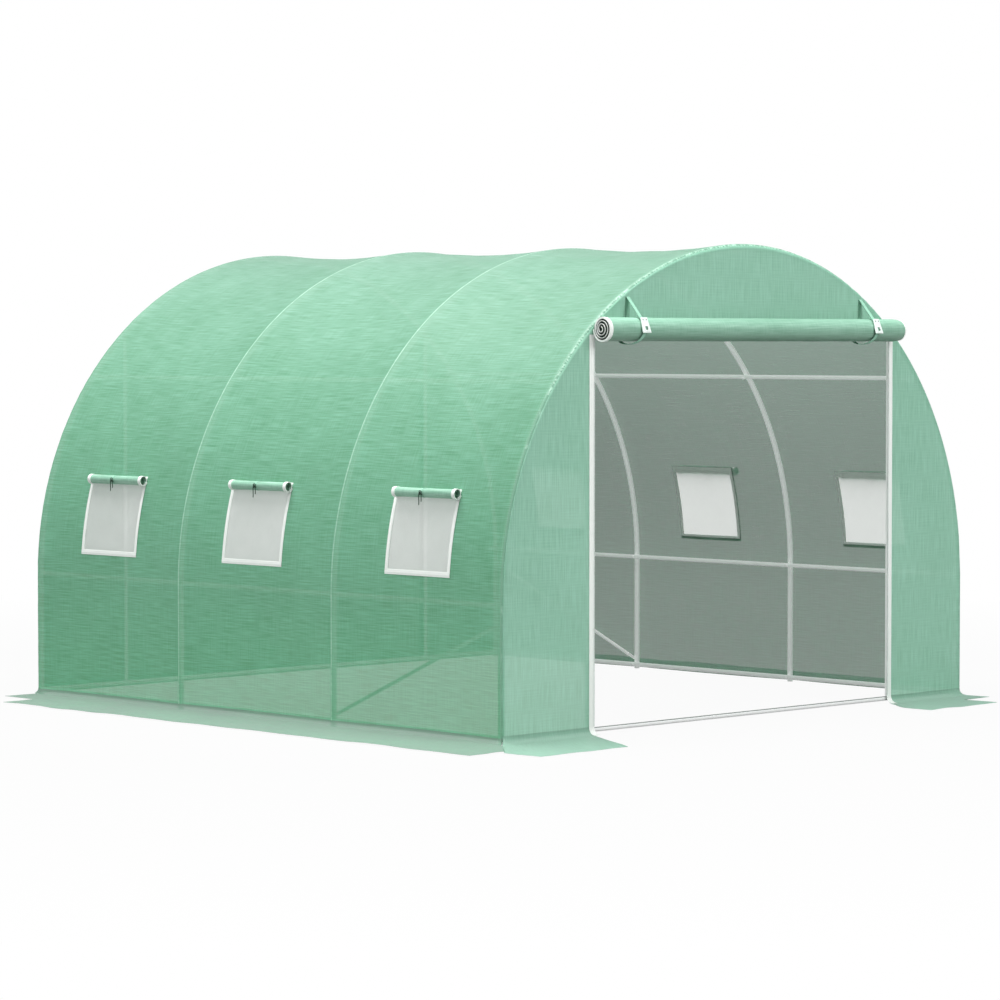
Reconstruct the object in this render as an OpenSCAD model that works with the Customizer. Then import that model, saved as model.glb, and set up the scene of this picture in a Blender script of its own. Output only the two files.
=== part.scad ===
// Walk-in polytunnel greenhouse: steel hoops, rails and purlins under a woven cover,
// with a rolled-up front door, rolled window flaps and a ground skirt all round.
// X runs across, Y along the tunnel with the front at -Y, Z up. The origin is on the ground
// in the middle of the footprint. All lengths are millimetres.

/* [Tunnel] */
// radius of the hoop's centre line
hoop_radius = 1450; // [1000:10:2200]
// height of the straight legs below the arc
leg_height = 550; // [300:10:1000]
// distance between neighbouring hoops
bay_length = 990; // [700:10:1500]

/* [Frame tubes] */
// outer diameter of the hoop tube
hoop_tube_d = 25; // [19:1:40]
// outer diameter of rails, purlins and door posts
rail_tube_d = 19; // [12:1:32]
// outer diameter of the diagonal braces
brace_tube_d = 16; // [10:1:25]
// angle of the side purlins above the top of the legs, in degrees
purlin_angle = 38.5; // [30:0.5:60]
// height of the base rails' centre line
base_rail_height = 22; // [16:1:60]
// how far the brace's upper end lies below the top of the legs
brace_drop = 60; // [30:5:200]
// how far the brace's lower end lies above the base rail's centre line
brace_rise = 30; // [25:1:120]
// length of a brace's flattened ends
brace_tab_l = 45; // [20:1:80]
// thickness of a brace's flattened ends
brace_tab_t = 6; // [3:0.5:8]

/* [Cover] */
// thickness of the cover
cover_t = 2; // [1:0.1:4]
// air between the sagging cover and the purlins
sag_clearance = 1.6; // [0.5:0.1:10]
// clearance between pieces that seat on one another
fit_gap = 0.3; // [0.1:0.05:1]

/* [Door] */
// half the width between the panels beside the door
door_half_w = 940; // [500:5:1100]
// how far a door post stands outside the door's edge
door_post_set = 18; // [0:1:60]
// how far the head panel's lower edge lies below the meeting of door edge and hoop
door_head_drop = 42; // [10:1:200]
// width of the white zip tape along a door edge
zip_w = 30; // [20:1:80]
// thickness of the zip tape
zip_t = 1; // [0.5:0.1:3]
// how far the zip tape reaches into the opening
zip_reach = 6; // [0:1:20]
// radius of the rolled door
door_roll_r = 49; // [30:1:80]
// height of the rolled door's axis above the head panel's lower edge
door_roll_rise = 39; // [0:1:80]
// how far the rolled door stands past the door's edge
door_roll_overhang = 2; // [0:1:40]
// distance between the turns of the rolled door
door_roll_pitch = 12; // [7:0.5:16]
// thickness of the folded cloth in the rolled door
door_roll_t = 6; // [2:0.5:6.5]

/* [Door straps] */
// distance of a strap from the door's edge
strap_inset = 200; // [60:5:400]
// width of the strap
strap_w = 27; // [10:1:40]
// thickness of the strap
strap_t = 1.5; // [0.8:0.1:3]
// height above the roll's axis where the strap is sewn to the head panel
strap_rise = 135; // [90:1:200]
// width of the buckle's upper end
buckle_top_w = 42; // [30:1:60]
// width of the buckle's lower end
buckle_foot_w = 49; // [30:1:60]
// length of the buckle along the strap
buckle_l = 66; // [50:1:100]
// thickness of the buckle
buckle_t = 5; // [2:0.5:10]
// width of the frame round the buckle's holes, and radius of its corners
buckle_rim = 6; // [3:0.5:12]
// side of the square hole that the strap's end goes through
buckle_hole = 16; // [8:1:18]
// diameter of the two sewing eyes at the buckle's upper end
buckle_eye_d = 5; // [2:0.5:8]
// place of the buckle between the roll's front and where the strap leaves the roll
buckle_share = 0.5; // [0:0.05:1]

/* [Windows] */
// width of the window opening along the tunnel
window_w = 350; // [200:5:500]
// height of the window opening along the wall
window_h = 315; // [150:5:400]
// distance of the window's binding above the top of the legs
window_sill = 105; // [60:5:200]
// width of the white binding
binding_w = 20; // [8:1:40]
// thickness of the binding
binding_t = 1; // [0.5:0.1:3]
// thickness of the mesh screen
screen_t = 1; // [0.5:0.1:3]
// how far the screen laps behind the cover
screen_lap = 12; // [5:1:30]
// radius of the rolled window flap
window_roll_r = 19.5; // [16:0.5:40]
// distance between the turns of the rolled window flap
window_roll_pitch = 6; // [4:0.5:8]
// thickness of the cloth in the rolled window flap
window_roll_t = 3; // [1:0.5:3.5]
// how far the rolled flap's axis lies below the binding's upper edge, along the wall
window_roll_drop = 17; // [0:1:20]
// how far the rolled flap ends short of the binding at its rear end
window_roll_short = 22; // [0:1:60]
// width of the tie round the rolled flap
tie_w = 9; // [5:1:20]
// thickness of the tie
tie_t = 1.5; // [0.8:0.1:3]
// diameter of the tie's knot
tie_knot_d = 16; // [10:1:30]
// diameter of the tie's hanging tails
tail_d = 5; // [3:0.5:8]
// length of the tie's longer hanging tail
tail_l = 48; // [40:1:120]
// length of the tie's shorter hanging tail
short_tail_l = 34; // [32:1:120]
// how far the left middle window lies behind the middle of its bay
left_middle_window_shift = 36; // [0:1:80]
// how far the left rear window lies behind the middle of its bay
left_rear_window_shift = 15; // [0:1:80]
// how far the right front window lies in front of the middle of its bay
right_front_window_shift = 30; // [0:1:80]

/* [Skirt] */
// width of the skirt from the cover outward
skirt_w = 365; // [150:5:600]
// thickness of the skirt
skirt_t = 2; // [1:0.1:4]
// how far the left skirt runs past the front hoop
skirt_corner_run = 215; // [100:5:350]
// how far the front left skirt runs past the left wall
skirt_corner_reach = 172; // [100:5:350]
// how far before the rear hoop the left skirt narrows
left_skirt_cut = 215; // [100:5:300]
// width of the left skirt's narrow rear end
left_skirt_step = 195; // [100:5:250]
// how far before the right wall the front right skirt narrows
front_skirt_cut = 145; // [100:5:300]
// width of the front right skirt's narrow end
front_skirt_step = 145; // [100:5:250]
// how far that narrow end runs past the front hoop's leg
front_skirt_reach = 40; // [0:5:80]
// width of a tapered skirt's end at the tunnel's corner
skirt_tip = 30; // [10:1:60]
// how far the front skirts' free ends lean to the left at their outer edge
skirt_end_lean = 110; // [0:5:300]
// slit between neighbouring flaps of the rear skirt
skirt_slit = 8; // [2:1:40]

/* [Hidden] */
// one node's name, or all
// facets of a whole turn of the hoops' arc
$fn = 360;
// facets of the wide circles that the cover dips along
dip_fn = 1440;
// facets of tubes and of the small round shapes
tube_fn = 32;
// facets in one turn of a rolled flap
roll_fn = 24;
// share of a turn over which a rolled flap steps in by one layer
step_in_share = 0.25;
// radius of the hollow core of a rolled flap
roll_core_r = 3;
// overrun of cuts
cut_over = 1;

// hoops and bay middles along the tunnel, as shares of a bay
front_hoop_share = -1.5;
front_middle_share = -0.5;
rear_middle_share = 0.5;
rear_hoop_share = 1.5;
bay_shares = [-1, 0, 1];
// the two sides of the tunnel
side_shares = [-1, 1];

// tunnel ends and places of the rails inside the hoops
half_length = rear_hoop_share * bay_length;
rail_r = hoop_radius - (hoop_tube_d + rail_tube_d) / 2 - fit_gap;
brace_r = hoop_radius - (hoop_tube_d + brace_tube_d) / 2 - fit_gap;
rail_end = half_length + hoop_tube_d / 2;
brace_top_height = leg_height - brace_drop;
brace_foot_height = base_rail_height + brace_rise;

// cover surface: radius at a hoop, dip at mid-bay and the dip's own radius
cover_r = hoop_radius + hoop_tube_d / 2 + fit_gap;
cover_dip = hoop_tube_d + 2 * fit_gap - sag_clearance;
dip_r = (pow(bay_length / 2, 2) + pow(cover_dip, 2)) / (2 * cover_dip);
sleeve_r = hoop_tube_d / 2 + fit_gap;
skin_end = half_length + cover_t;

// end panels lie on the outer side of the end hoops
panel_back = half_length + sleeve_r;
panel_face = panel_back + cover_t;
panel_r = hoop_radius - fit_gap;

// window angles above the top of the legs, in degrees
degrees_per_mm = 180 / (PI * cover_r);
binding_low_angle = window_sill * degrees_per_mm;
opening_low_angle = (window_sill + binding_w) * degrees_per_mm;
opening_high_angle = (window_sill + binding_w + window_h) * degrees_per_mm;
binding_high_angle = (window_sill + 2 * binding_w + window_h) * degrees_per_mm;
binding_outer_w = window_w + 2 * binding_w;
lap_angle = screen_lap * degrees_per_mm;

// places of the windows along the tunnel, from the front one to the rear one
left_window_ys = [-bay_length, left_middle_window_shift, bay_length + left_rear_window_shift];
right_window_ys = [-bay_length - right_front_window_shift, 0, bay_length];

// rolled window flap, over the binding's upper edge
window_roll_angle = binding_high_angle - window_roll_drop * degrees_per_mm;
window_roll_front = -binding_outer_w / 2;
window_roll_back = binding_outer_w / 2 - window_roll_short;
tie_r = window_roll_r + fit_gap;
tail_spread = tie_knot_d / 2;

// rolled door in its straps, in front of the zip tapes
door_head_height = leg_height + sqrt(pow(panel_r, 2) - pow(door_half_w, 2)) - door_head_drop;
door_roll_height = door_head_height + door_roll_rise;
door_roll_half_l = door_half_w + door_roll_overhang;
door_roll_y = -(panel_face + 2 * fit_gap + max(strap_t, zip_t) + door_roll_r);
strap_r = door_roll_r + fit_gap;
strap_x = door_half_w - strap_inset;
strap_seam_y = strap_r - strap_t;
strap_leg_angle = 180 - atan2(strap_rise, strap_seam_y)
    - acos((strap_r - strap_t) / norm([strap_seam_y, strap_rise]));
buckle_angle = buckle_share * strap_leg_angle;
buckle_place = strap_r + strap_t + fit_gap;

// skirt edges
skirt_out_x = cover_r + skirt_w;
skirt_out_y = half_length + skirt_w;
skirt_end_x = door_half_w - zip_reach;
rear_skirt_x = max(door_half_w + skirt_tip, hoop_radius - skirt_out_y + panel_back + skirt_tip);

// depth of the cover below its crest, at a distance from the middle of a bay
function dip_at(away) = cover_dip - dip_r + sqrt(pow(dip_r, 2) - pow(away, 2));

// distance along the tunnel from the middle of the nearest bay
function off_middle(y) = y - bay_length * round(y / bay_length);

// distance of a window roll's axis from the tunnel's: its outermost end rests on the binding
function window_roll_place(y) =
    let (away = max(-off_middle(y) - window_roll_front, off_middle(y) + window_roll_back))
    cover_r + cover_t + binding_t + 2 * fit_gap - dip_at(away) + window_roll_r;

// point of a rolled flap's spiral, counted inward from its outer end: each turn is round
// up to its last stretch, which steps in by one layer
function spiral_point(radius, pitch, step) =
    let (turns = floor(step / roll_fn), left = turns + 1 - step / roll_fn)
    (radius - pitch * (turns + max(0, 1 - left / step_in_share)))
    * [cos(360 * step / roll_fn), sin(360 * step / roll_fn)];

// round bar along the tunnel
module along_tunnel(x, z, d, front, back) {
    translate([x, front, z])
        rotate([-90, 0, 0])
            cylinder(d = d, h = back - front, $fn = tube_fn);
}

// turns a section drawn as radius and place along the tunnel about the tunnel's axis
module turned(low_angle, high_angle) {
    translate([0, 0, leg_height])
        rotate([90, 0, 0])
            rotate([0, 0, low_angle])
                rotate_extrude(angle = high_angle - low_angle)
                    mirror([0, 1])
                        children();
}

// one hoop: two legs and a half-round arc
module hoop(share, d) {
    translate([0, share * bay_length, leg_height])
        rotate([90, 0, 0])
            rotate_extrude(angle = 180)
                translate([hoop_radius, 0])
                    circle(d = d, $fn = tube_fn);
    for (side = side_shares)
        translate([side * hoop_radius, share * bay_length, 0])
            cylinder(d = d, h = leg_height, $fn = tube_fn);
}

// door post: stands on the base rail and is coped under the hoop
module door_post(side, share) {
    foot = base_rail_height + rail_tube_d / 2 + fit_gap;
    post_x = door_half_w + door_post_set;
    difference() {
        translate([side * post_x, share * bay_length, foot])
            cylinder(
                d = rail_tube_d,
                h = leg_height + sqrt(pow(hoop_radius, 2) - pow(post_x, 2)) - foot,
                $fn = tube_fn
            );
        hoop(share, hoop_tube_d + 2 * fit_gap);
    }
}

// end base rail between the side base rails
module end_base_rail(share) {
    reach = rail_r - rail_tube_d / 2 - fit_gap;
    translate([-reach, share * bay_length, base_rail_height])
        rotate([0, 90, 0])
            cylinder(d = rail_tube_d, h = 2 * reach, $fn = tube_fn);
}

// diagonal brace from a hoop's leg down to the foot of the next one, flattened against both
module brace(side, top_share, foot_share) {
    run = (foot_share - top_share) * bay_length;
    fall = brace_foot_height - brace_top_height;
    length = norm([run, fall]);
    tab_face = brace_tube_d / 2 - brace_tab_t;
    translate([side * brace_r, top_share * bay_length, brace_top_height])
        rotate([atan2(-run, fall), 0, 0])
            difference() {
                cylinder(d = brace_tube_d, h = length, $fn = tube_fn);
                for (end = [-cut_over, length - brace_tab_l])
                    translate([side > 0 ? tab_face - brace_tube_d : -tab_face, -brace_tube_d, end])
                        cube([brace_tube_d, 2 * brace_tube_d, brace_tab_l + cut_over]);
            }
}

// section of the space inside the cover, dipping between hoops
module cover_inside(offset_out) {
    difference() {
        translate([0, -skin_end])
            square([cover_r + offset_out + cover_dip, 2 * skin_end]);
        for (bay = bay_shares)
            translate([cover_r + offset_out - cover_dip + dip_r, bay * bay_length])
                circle(r = dip_r, $fn = dip_fn);
    }
}

// section of a skin that follows the cover between two offsets
module cover_skin(low, high) {
    difference() {
        cover_inside(high);
        cover_inside(low);
    }
}

// section of the cover's rim round an end hoop's outer quarter, starting under the skin's end
module cover_rim(side) {
    translate([hoop_radius, side * half_length])
        intersection() {
            difference() {
                circle(r = sleeve_r + cover_t, $fn = tube_fn);
                circle(r = sleeve_r, $fn = tube_fn);
            }
            translate([0, side * (cover_t / 2 + sleeve_r) - sleeve_r])
                square(2 * sleeve_r);
        }
}

// whole section of the cover with both rims
module cover_section() {
    cover_skin(0, cover_t);
    for (side = side_shares)
        cover_rim(side);
}

// stretch of a skin beside one window
module window_band(low, high, width, y) {
    intersection() {
        cover_skin(low, high);
        translate([0, y - width / 2])
            square([2 * cover_r, width]);
    }
}

// places a shape on the wall at an angle, with X outward and Z up the wall
module on_wall(y, angle, place) {
    translate([0, y, leg_height])
        rotate([0, -angle, 0])
            translate([place, 0, 0])
                children();
}

// right-hand wall: straight part, arc up to the purlin and the window openings
module wall_cover(window_ys) {
    difference() {
        union() {
            translate([0, 0, skirt_t])
                linear_extrude(height = leg_height - skirt_t)
                    cover_section();
            turned(0, purlin_angle)
                cover_section();
        }
        for (y = window_ys)
            on_wall(y, (opening_low_angle + opening_high_angle) / 2, cover_r)
                cube([4 * cover_dip, window_w, window_h], center = true);
    }
}

// mesh screens behind the right-hand wall's openings
module window_screens(window_ys) {
    for (y = window_ys)
        turned(opening_low_angle - lap_angle, opening_high_angle + lap_angle)
            window_band(-fit_gap - screen_t, -fit_gap, window_w + 2 * screen_lap, y);
}

// binding round the right-hand wall's openings
module wall_bindings(window_ys) {
    low = cover_t + fit_gap;
    for (y = window_ys)
        difference() {
            turned(binding_low_angle, binding_high_angle)
                window_band(low, low + binding_t, binding_outer_w, y);
            on_wall(y, (opening_low_angle + opening_high_angle) / 2, cover_r)
                cube([4 * cover_dip, window_w, window_h], center = true);
        }
}

// section of a rolled flap: one sheet wound inward to its core, with its outer end along X
module spiral(radius, pitch, thick) {
    steps = floor((radius - thick - roll_core_r) / pitch * roll_fn);
    polygon(concat(
        [for (step = [0 : steps]) spiral_point(radius, pitch, step)],
        [for (step = [steps : -1 : 0]) spiral_point(radius - thick, pitch, step)]
    ));
}

// rolled flaps above the right-hand windows
module window_rolls(window_ys) {
    for (y = window_ys)
        on_wall(y + window_roll_back, window_roll_angle, window_roll_place(y))
            rotate([90, 0, 0])
                linear_extrude(height = window_roll_back - window_roll_front)
                    rotate(180)
                        spiral(window_roll_r, window_roll_pitch, window_roll_t);
}

// ties round the right-hand rolls, each with a knot in front
module wall_ties(window_ys) {
    for (y = window_ys)
        on_wall(y, window_roll_angle, window_roll_place(y)) {
            rotate([90, 0, 0])
                linear_extrude(height = tie_w, center = true)
                    difference() {
                        circle(r = tie_r + tie_t, $fn = tube_fn);
                        circle(r = tie_r, $fn = tube_fn);
                    }
            intersection() {
                translate([tie_r + tie_t + tie_knot_d / 4, 0, 0])
                    sphere(d = tie_knot_d, $fn = tube_fn);
                translate([tie_r + tie_t / 2, -tie_knot_d, -tie_knot_d])
                    cube(2 * tie_knot_d);
            }
        }
}

// hanging tails of the right-hand ties, from under the knot
module wall_tails(window_ys) {
    for (y = window_ys, side = side_shares) {
        knot_r = window_roll_place(y) + tie_r + tie_t + tie_knot_d / 4;
        tail_z = leg_height + knot_r * sin(window_roll_angle) - tie_knot_d / 2 - fit_gap;
        length = side > 0 ? tail_l : short_tail_l;
        translate([knot_r * cos(window_roll_angle), y + side * tail_spread / 2, tail_z - length])
            cylinder(d = tail_d, h = length, $fn = tube_fn);
    }
}

// outline of a tunnel's end
module end_outline() {
    translate([0, leg_height])
        circle(r = panel_r);
    translate([-panel_r, skirt_t])
        square([2 * panel_r, leg_height - skirt_t]);
}

// flat piece of an end, drawn as X and Z, between two distances from the tunnel's middle
module end_sheet(end, near, thick) {
    translate([0, end > 0 ? near + thick : -near, 0])
        rotate([90, 0, 0])
            linear_extrude(height = thick)
                children();
}

// panel between the wall and the door, on one side of an end
module side_panel(side, end) {
    end_sheet(end, panel_back, cover_t)
        intersection() {
            end_outline();
            translate([side > 0 ? door_half_w : -door_half_w - hoop_radius, 0])
                square([hoop_radius, leg_height + hoop_radius]);
        }
}

// head panel over a door
module head_panel(end) {
    end_sheet(end, panel_back, cover_t)
        intersection() {
            end_outline();
            translate([-door_half_w, door_head_height])
                square([2 * door_half_w, leg_height + hoop_radius]);
        }
}

// white zip tapes along both edges of one end's door
module end_zips(end) {
    for (side = side_shares)
        end_sheet(end, panel_face + fit_gap, zip_t)
            intersection() {
                end_outline();
                translate([side * (door_half_w - zip_reach + zip_w / 2) - zip_w / 2, 0])
                    square([zip_w, leg_height + hoop_radius]);
            }
}

// skirt along a side wall, drawn at the right with its outer edge from front to rear
module side_skirt(outer_edge) {
    inner_x = cover_r - 2 * cover_dip;
    linear_extrude(height = skirt_t)
        difference() {
            polygon(concat([[inner_x, half_length], [inner_x, -half_length]], outer_edge));
            cover_inside(0);
            for (side = side_shares)
                translate([hoop_radius, side * half_length])
                    circle(r = sleeve_r, $fn = tube_fn);
        }
}

// loop of a strap round the rolled door, drawn with the panel's side along X
module strap_loop(inner) {
    hull() {
        circle(r = strap_r + (inner ? 0 : strap_t), $fn = tube_fn);
        translate([strap_seam_y, strap_rise])
            circle(r = (inner ? 1 : 2) * strap_t, $fn = tube_fn);
    }
}

// outline of a buckle: wider at its foot, with a square hole there and two eyes at its top
module buckle_outline() {
    top_half = buckle_top_w / 2 - buckle_rim;
    foot_half = buckle_foot_w / 2 - buckle_rim;
    end = buckle_l / 2 - buckle_rim;
    difference() {
        offset(r = buckle_rim, $fn = tube_fn)
            polygon([[-foot_half, -end], [foot_half, -end], [top_half, end], [-top_half, end]]);
        translate([-buckle_hole / 2, -end])
            square(buckle_hole);
        for (side = side_shares)
            translate([side * top_half / 2, end - buckle_eye_d / 2])
                circle(d = buckle_eye_d, $fn = tube_fn);
    }
}

module front_hoop() {
    color("#98aca1") hoop(front_hoop_share, hoop_tube_d);
}

module front_middle_hoop() {
    color("#98aca1") hoop(front_middle_share, hoop_tube_d);
}

module rear_middle_hoop() {
    color("#98aca1") hoop(rear_middle_share, hoop_tube_d);
}

module rear_hoop() {
    color("#98aca1") hoop(rear_hoop_share, hoop_tube_d);
}

module left_base_rail() {
    color("#98aca1") along_tunnel(-rail_r, base_rail_height, rail_tube_d, -rail_end, rail_end);
}

module right_base_rail() {
    color("#98aca1") along_tunnel(rail_r, base_rail_height, rail_tube_d, -rail_end, rail_end);
}

module front_base_rail() {
    color("#e8ece9") end_base_rail(front_hoop_share);
}

module rear_base_rail() {
    color("#98aca1") end_base_rail(rear_hoop_share);
}

module left_side_rail() {
    color("#98aca1") along_tunnel(-rail_r, leg_height, rail_tube_d, -rail_end, rail_end);
}

module right_side_rail() {
    color("#98aca1") along_tunnel(rail_r, leg_height, rail_tube_d, -rail_end, rail_end);
}

module left_purlin() {
    color("#98aca1")
        along_tunnel(
            -rail_r * cos(purlin_angle), leg_height + rail_r * sin(purlin_angle),
            rail_tube_d, -rail_end, rail_end
        );
}

module right_purlin() {
    color("#98aca1")
        along_tunnel(
            rail_r * cos(purlin_angle), leg_height + rail_r * sin(purlin_angle),
            rail_tube_d, -rail_end, rail_end
        );
}

module ridge_purlin() {
    color("#98aca1") along_tunnel(0, leg_height + rail_r, rail_tube_d, -rail_end, rail_end);
}

module front_left_door_post() {
    color("#98aca1") door_post(-1, front_hoop_share);
}

module front_right_door_post() {
    color("#98aca1") door_post(1, front_hoop_share);
}

module rear_left_door_post() {
    color("#98aca1") door_post(-1, rear_hoop_share);
}

module rear_right_door_post() {
    color("#98aca1") door_post(1, rear_hoop_share);
}

module front_left_brace() {
    color("#98aca1") brace(-1, front_hoop_share, front_middle_share);
}

module rear_right_brace() {
    color("#98aca1") brace(1, rear_hoop_share, rear_middle_share);
}

module left_wall_cover() {
    color("#7fb898") mirror([1, 0, 0]) wall_cover(left_window_ys);
}

module right_wall_cover() {
    color("#7fb898") wall_cover(right_window_ys);
}

module roof_cover() {
    color("#9cd1b7") turned(purlin_angle, 180 - purlin_angle) cover_section();
}

module front_left_panel() {
    color("#93c2ab") side_panel(-1, -1);
}

module front_right_panel() {
    color("#93c2ab") side_panel(1, -1);
}

module front_head_panel() {
    color("#93bcaa") head_panel(-1);
}

module rear_left_panel() {
    color("#93c2ab") side_panel(-1, 1);
}

module rear_right_panel() {
    color("#93c2ab") side_panel(1, 1);
}

module rear_head_panel() {
    color("#93bcaa") head_panel(1);
}

module rear_door() {
    color("#93c2ab")
        end_sheet(1, panel_back, cover_t)
            translate([-door_half_w + fit_gap, skirt_t])
                square([2 * (door_half_w - fit_gap), door_head_height - skirt_t]);
}

module left_skirt() {
    color("#a7c6b5")
        mirror([1, 0, 0])
            side_skirt([
                [hoop_radius, -half_length],
                [hoop_radius, -half_length - skirt_corner_run],
                [skirt_out_x, -half_length - skirt_corner_run],
                [skirt_out_x, half_length - left_skirt_cut],
                [cover_r + left_skirt_step, half_length - left_skirt_cut],
                [cover_r + left_skirt_step, half_length]
            ]);
}

module right_skirt() {
    color("#a7c6b5")
        side_skirt([
            [cover_r + skirt_tip, -half_length],
            [skirt_out_x, -half_length + skirt_w - skirt_tip],
            [skirt_out_x, half_length - skirt_w + skirt_tip],
            [cover_r + skirt_tip, half_length]
        ]);
}

module front_left_skirt() {
    color("#a7c6b5")
        linear_extrude(height = skirt_t)
            polygon([
                [-skirt_end_x, -panel_back],
                [-hoop_radius, -panel_back],
                [-hoop_radius, -half_length - skirt_corner_run],
                [-hoop_radius - skirt_corner_reach, -half_length - skirt_corner_run],
                [-hoop_radius - skirt_corner_reach, -skirt_out_y],
                [-skirt_end_x - skirt_end_lean, -skirt_out_y]
            ]);
}

module front_right_skirt() {
    color("#a7c6b5")
        linear_extrude(height = skirt_t)
            polygon([
                [skirt_end_x, -panel_back],
                [hoop_radius + front_skirt_reach, -panel_back],
                [hoop_radius + front_skirt_reach, -panel_back - front_skirt_step],
                [hoop_radius - front_skirt_cut, -panel_back - front_skirt_step],
                [hoop_radius - front_skirt_cut, -skirt_out_y],
                [skirt_end_x - skirt_end_lean, -skirt_out_y]
            ]);
}

module rear_skirt() {
    color("#a7c6b5")
        linear_extrude(height = skirt_t) {
            for (side = side_shares)
                scale([side, 1])
                    polygon([
                        [door_half_w, panel_back],
                        [hoop_radius, panel_back],
                        [hoop_radius, panel_back + skirt_tip],
                        [rear_skirt_x, skirt_out_y],
                        [door_half_w, skirt_out_y]
                    ]);
            translate([-door_half_w + skirt_slit, panel_back])
                square([2 * (door_half_w - skirt_slit), skirt_out_y - panel_back]);
        }
}

module left_window_screens() {
    color("#ccd1cd") mirror([1, 0, 0]) window_screens(left_window_ys);
}

module right_window_screens() {
    color("#ccd1cd") window_screens(right_window_ys);
}

module window_bindings() {
    color("#f4f8f5") {
        wall_bindings(right_window_ys);
        mirror([1, 0, 0])
            wall_bindings(left_window_ys);
    }
}

module left_window_rolls() {
    color("#79a68e") mirror([1, 0, 0]) window_rolls(left_window_ys);
}

module right_window_rolls() {
    color("#79a68e") window_rolls(right_window_ys);
}

module window_ties() {
    color("#2f4a3c") {
        wall_ties(right_window_ys);
        mirror([1, 0, 0])
            wall_ties(left_window_ys);
    }
}

module tie_tails() {
    color("#2f4a3c") {
        wall_tails(right_window_ys);
        mirror([1, 0, 0])
            wall_tails(left_window_ys);
    }
}

module front_door_roll() {
    color("#79a68e")
        translate([0, door_roll_y, door_roll_height])
            rotate([90, 0, 90])
                linear_extrude(height = 2 * door_roll_half_l, center = true)
                    mirror([0, 1])
                        spiral(door_roll_r, door_roll_pitch, door_roll_t);
}

module front_door_straps() {
    color("#79a68e")
        for (side = side_shares)
            translate([side * strap_x, door_roll_y, door_roll_height])
                rotate([90, 0, 90])
                    linear_extrude(height = strap_w, center = true)
                        difference() {
                            strap_loop(false);
                            strap_loop(true);
                        }
}

module strap_buckles() {
    color("#f2f6f3")
        for (side = side_shares)
            translate([side * strap_x, door_roll_y, door_roll_height])
                rotate([90 - buckle_angle, 0, 0])
                    translate([0, 0, buckle_place])
                        linear_extrude(height = buckle_t)
                            buckle_outline();
}

module door_zips() {
    color("#f4f8f5")
        for (end = side_shares)
            end_zips(end);
}

front_hoop();
front_middle_hoop();
rear_middle_hoop();
rear_hoop();
left_base_rail();
right_base_rail();
front_base_rail();
rear_base_rail();
left_side_rail();
right_side_rail();
left_purlin();
right_purlin();
ridge_purlin();
front_left_door_post();
front_right_door_post();
rear_left_door_post();
rear_right_door_post();
front_left_brace();
rear_right_brace();
left_wall_cover();
right_wall_cover();
roof_cover();
front_left_panel();
front_right_panel();
front_head_panel();
rear_left_panel();
rear_right_panel();
rear_head_panel();
rear_door();
left_skirt();
right_skirt();
front_left_skirt();
front_right_skirt();
rear_skirt();
left_window_screens();
right_window_screens();
window_bindings();
left_window_rolls();
right_window_rolls();
window_ties();
tie_tails();
front_door_roll();
front_door_straps();
strap_buckles();
door_zips();
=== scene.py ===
"""Looks of a walk-in polytunnel greenhouse: woven cover, rolled door and windows, tube frame.

Metres throughout, in the frame's own axes: X across, Y along with the front at -Y, Z up.
"""
import math

import bpy
import numpy as np
from mathutils import Matrix, Vector


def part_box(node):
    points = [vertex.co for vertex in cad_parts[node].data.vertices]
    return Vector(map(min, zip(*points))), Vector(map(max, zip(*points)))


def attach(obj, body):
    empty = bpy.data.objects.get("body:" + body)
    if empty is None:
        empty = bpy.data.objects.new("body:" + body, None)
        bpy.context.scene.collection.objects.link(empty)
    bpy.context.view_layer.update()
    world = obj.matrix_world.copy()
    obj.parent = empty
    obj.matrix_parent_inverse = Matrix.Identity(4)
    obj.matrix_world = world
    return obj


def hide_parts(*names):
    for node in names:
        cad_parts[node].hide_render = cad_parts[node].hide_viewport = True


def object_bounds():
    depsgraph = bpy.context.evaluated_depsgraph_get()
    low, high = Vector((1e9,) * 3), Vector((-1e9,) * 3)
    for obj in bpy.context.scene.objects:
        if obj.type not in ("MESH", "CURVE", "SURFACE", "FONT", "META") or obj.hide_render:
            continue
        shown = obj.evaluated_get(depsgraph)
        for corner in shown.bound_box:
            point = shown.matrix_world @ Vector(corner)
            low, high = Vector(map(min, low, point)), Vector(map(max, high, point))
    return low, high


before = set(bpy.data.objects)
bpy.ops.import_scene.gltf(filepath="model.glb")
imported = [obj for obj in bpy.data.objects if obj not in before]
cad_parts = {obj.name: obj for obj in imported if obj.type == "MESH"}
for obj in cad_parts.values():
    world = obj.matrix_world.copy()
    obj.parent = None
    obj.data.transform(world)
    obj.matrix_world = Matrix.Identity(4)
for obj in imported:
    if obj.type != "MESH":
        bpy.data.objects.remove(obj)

cad_low, cad_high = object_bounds()

# Tunnel sizes, read from the frame
hoop_low, hoop_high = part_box("front_hoop")
rear_low, rear_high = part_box("rear_hoop")
middle_low, middle_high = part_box("front_middle_hoop")
tube_r = (hoop_high.y - hoop_low.y) / 2
arch_r = hoop_high.x - tube_r
leg_top = hoop_high.z - hoop_high.x
end_y = (rear_low.y + rear_high.y) / 2
bay = (middle_low.y + middle_high.y) / 2 + end_y
hoop_places = (-end_y, -bay / 2, bay / 2, end_y)

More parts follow.
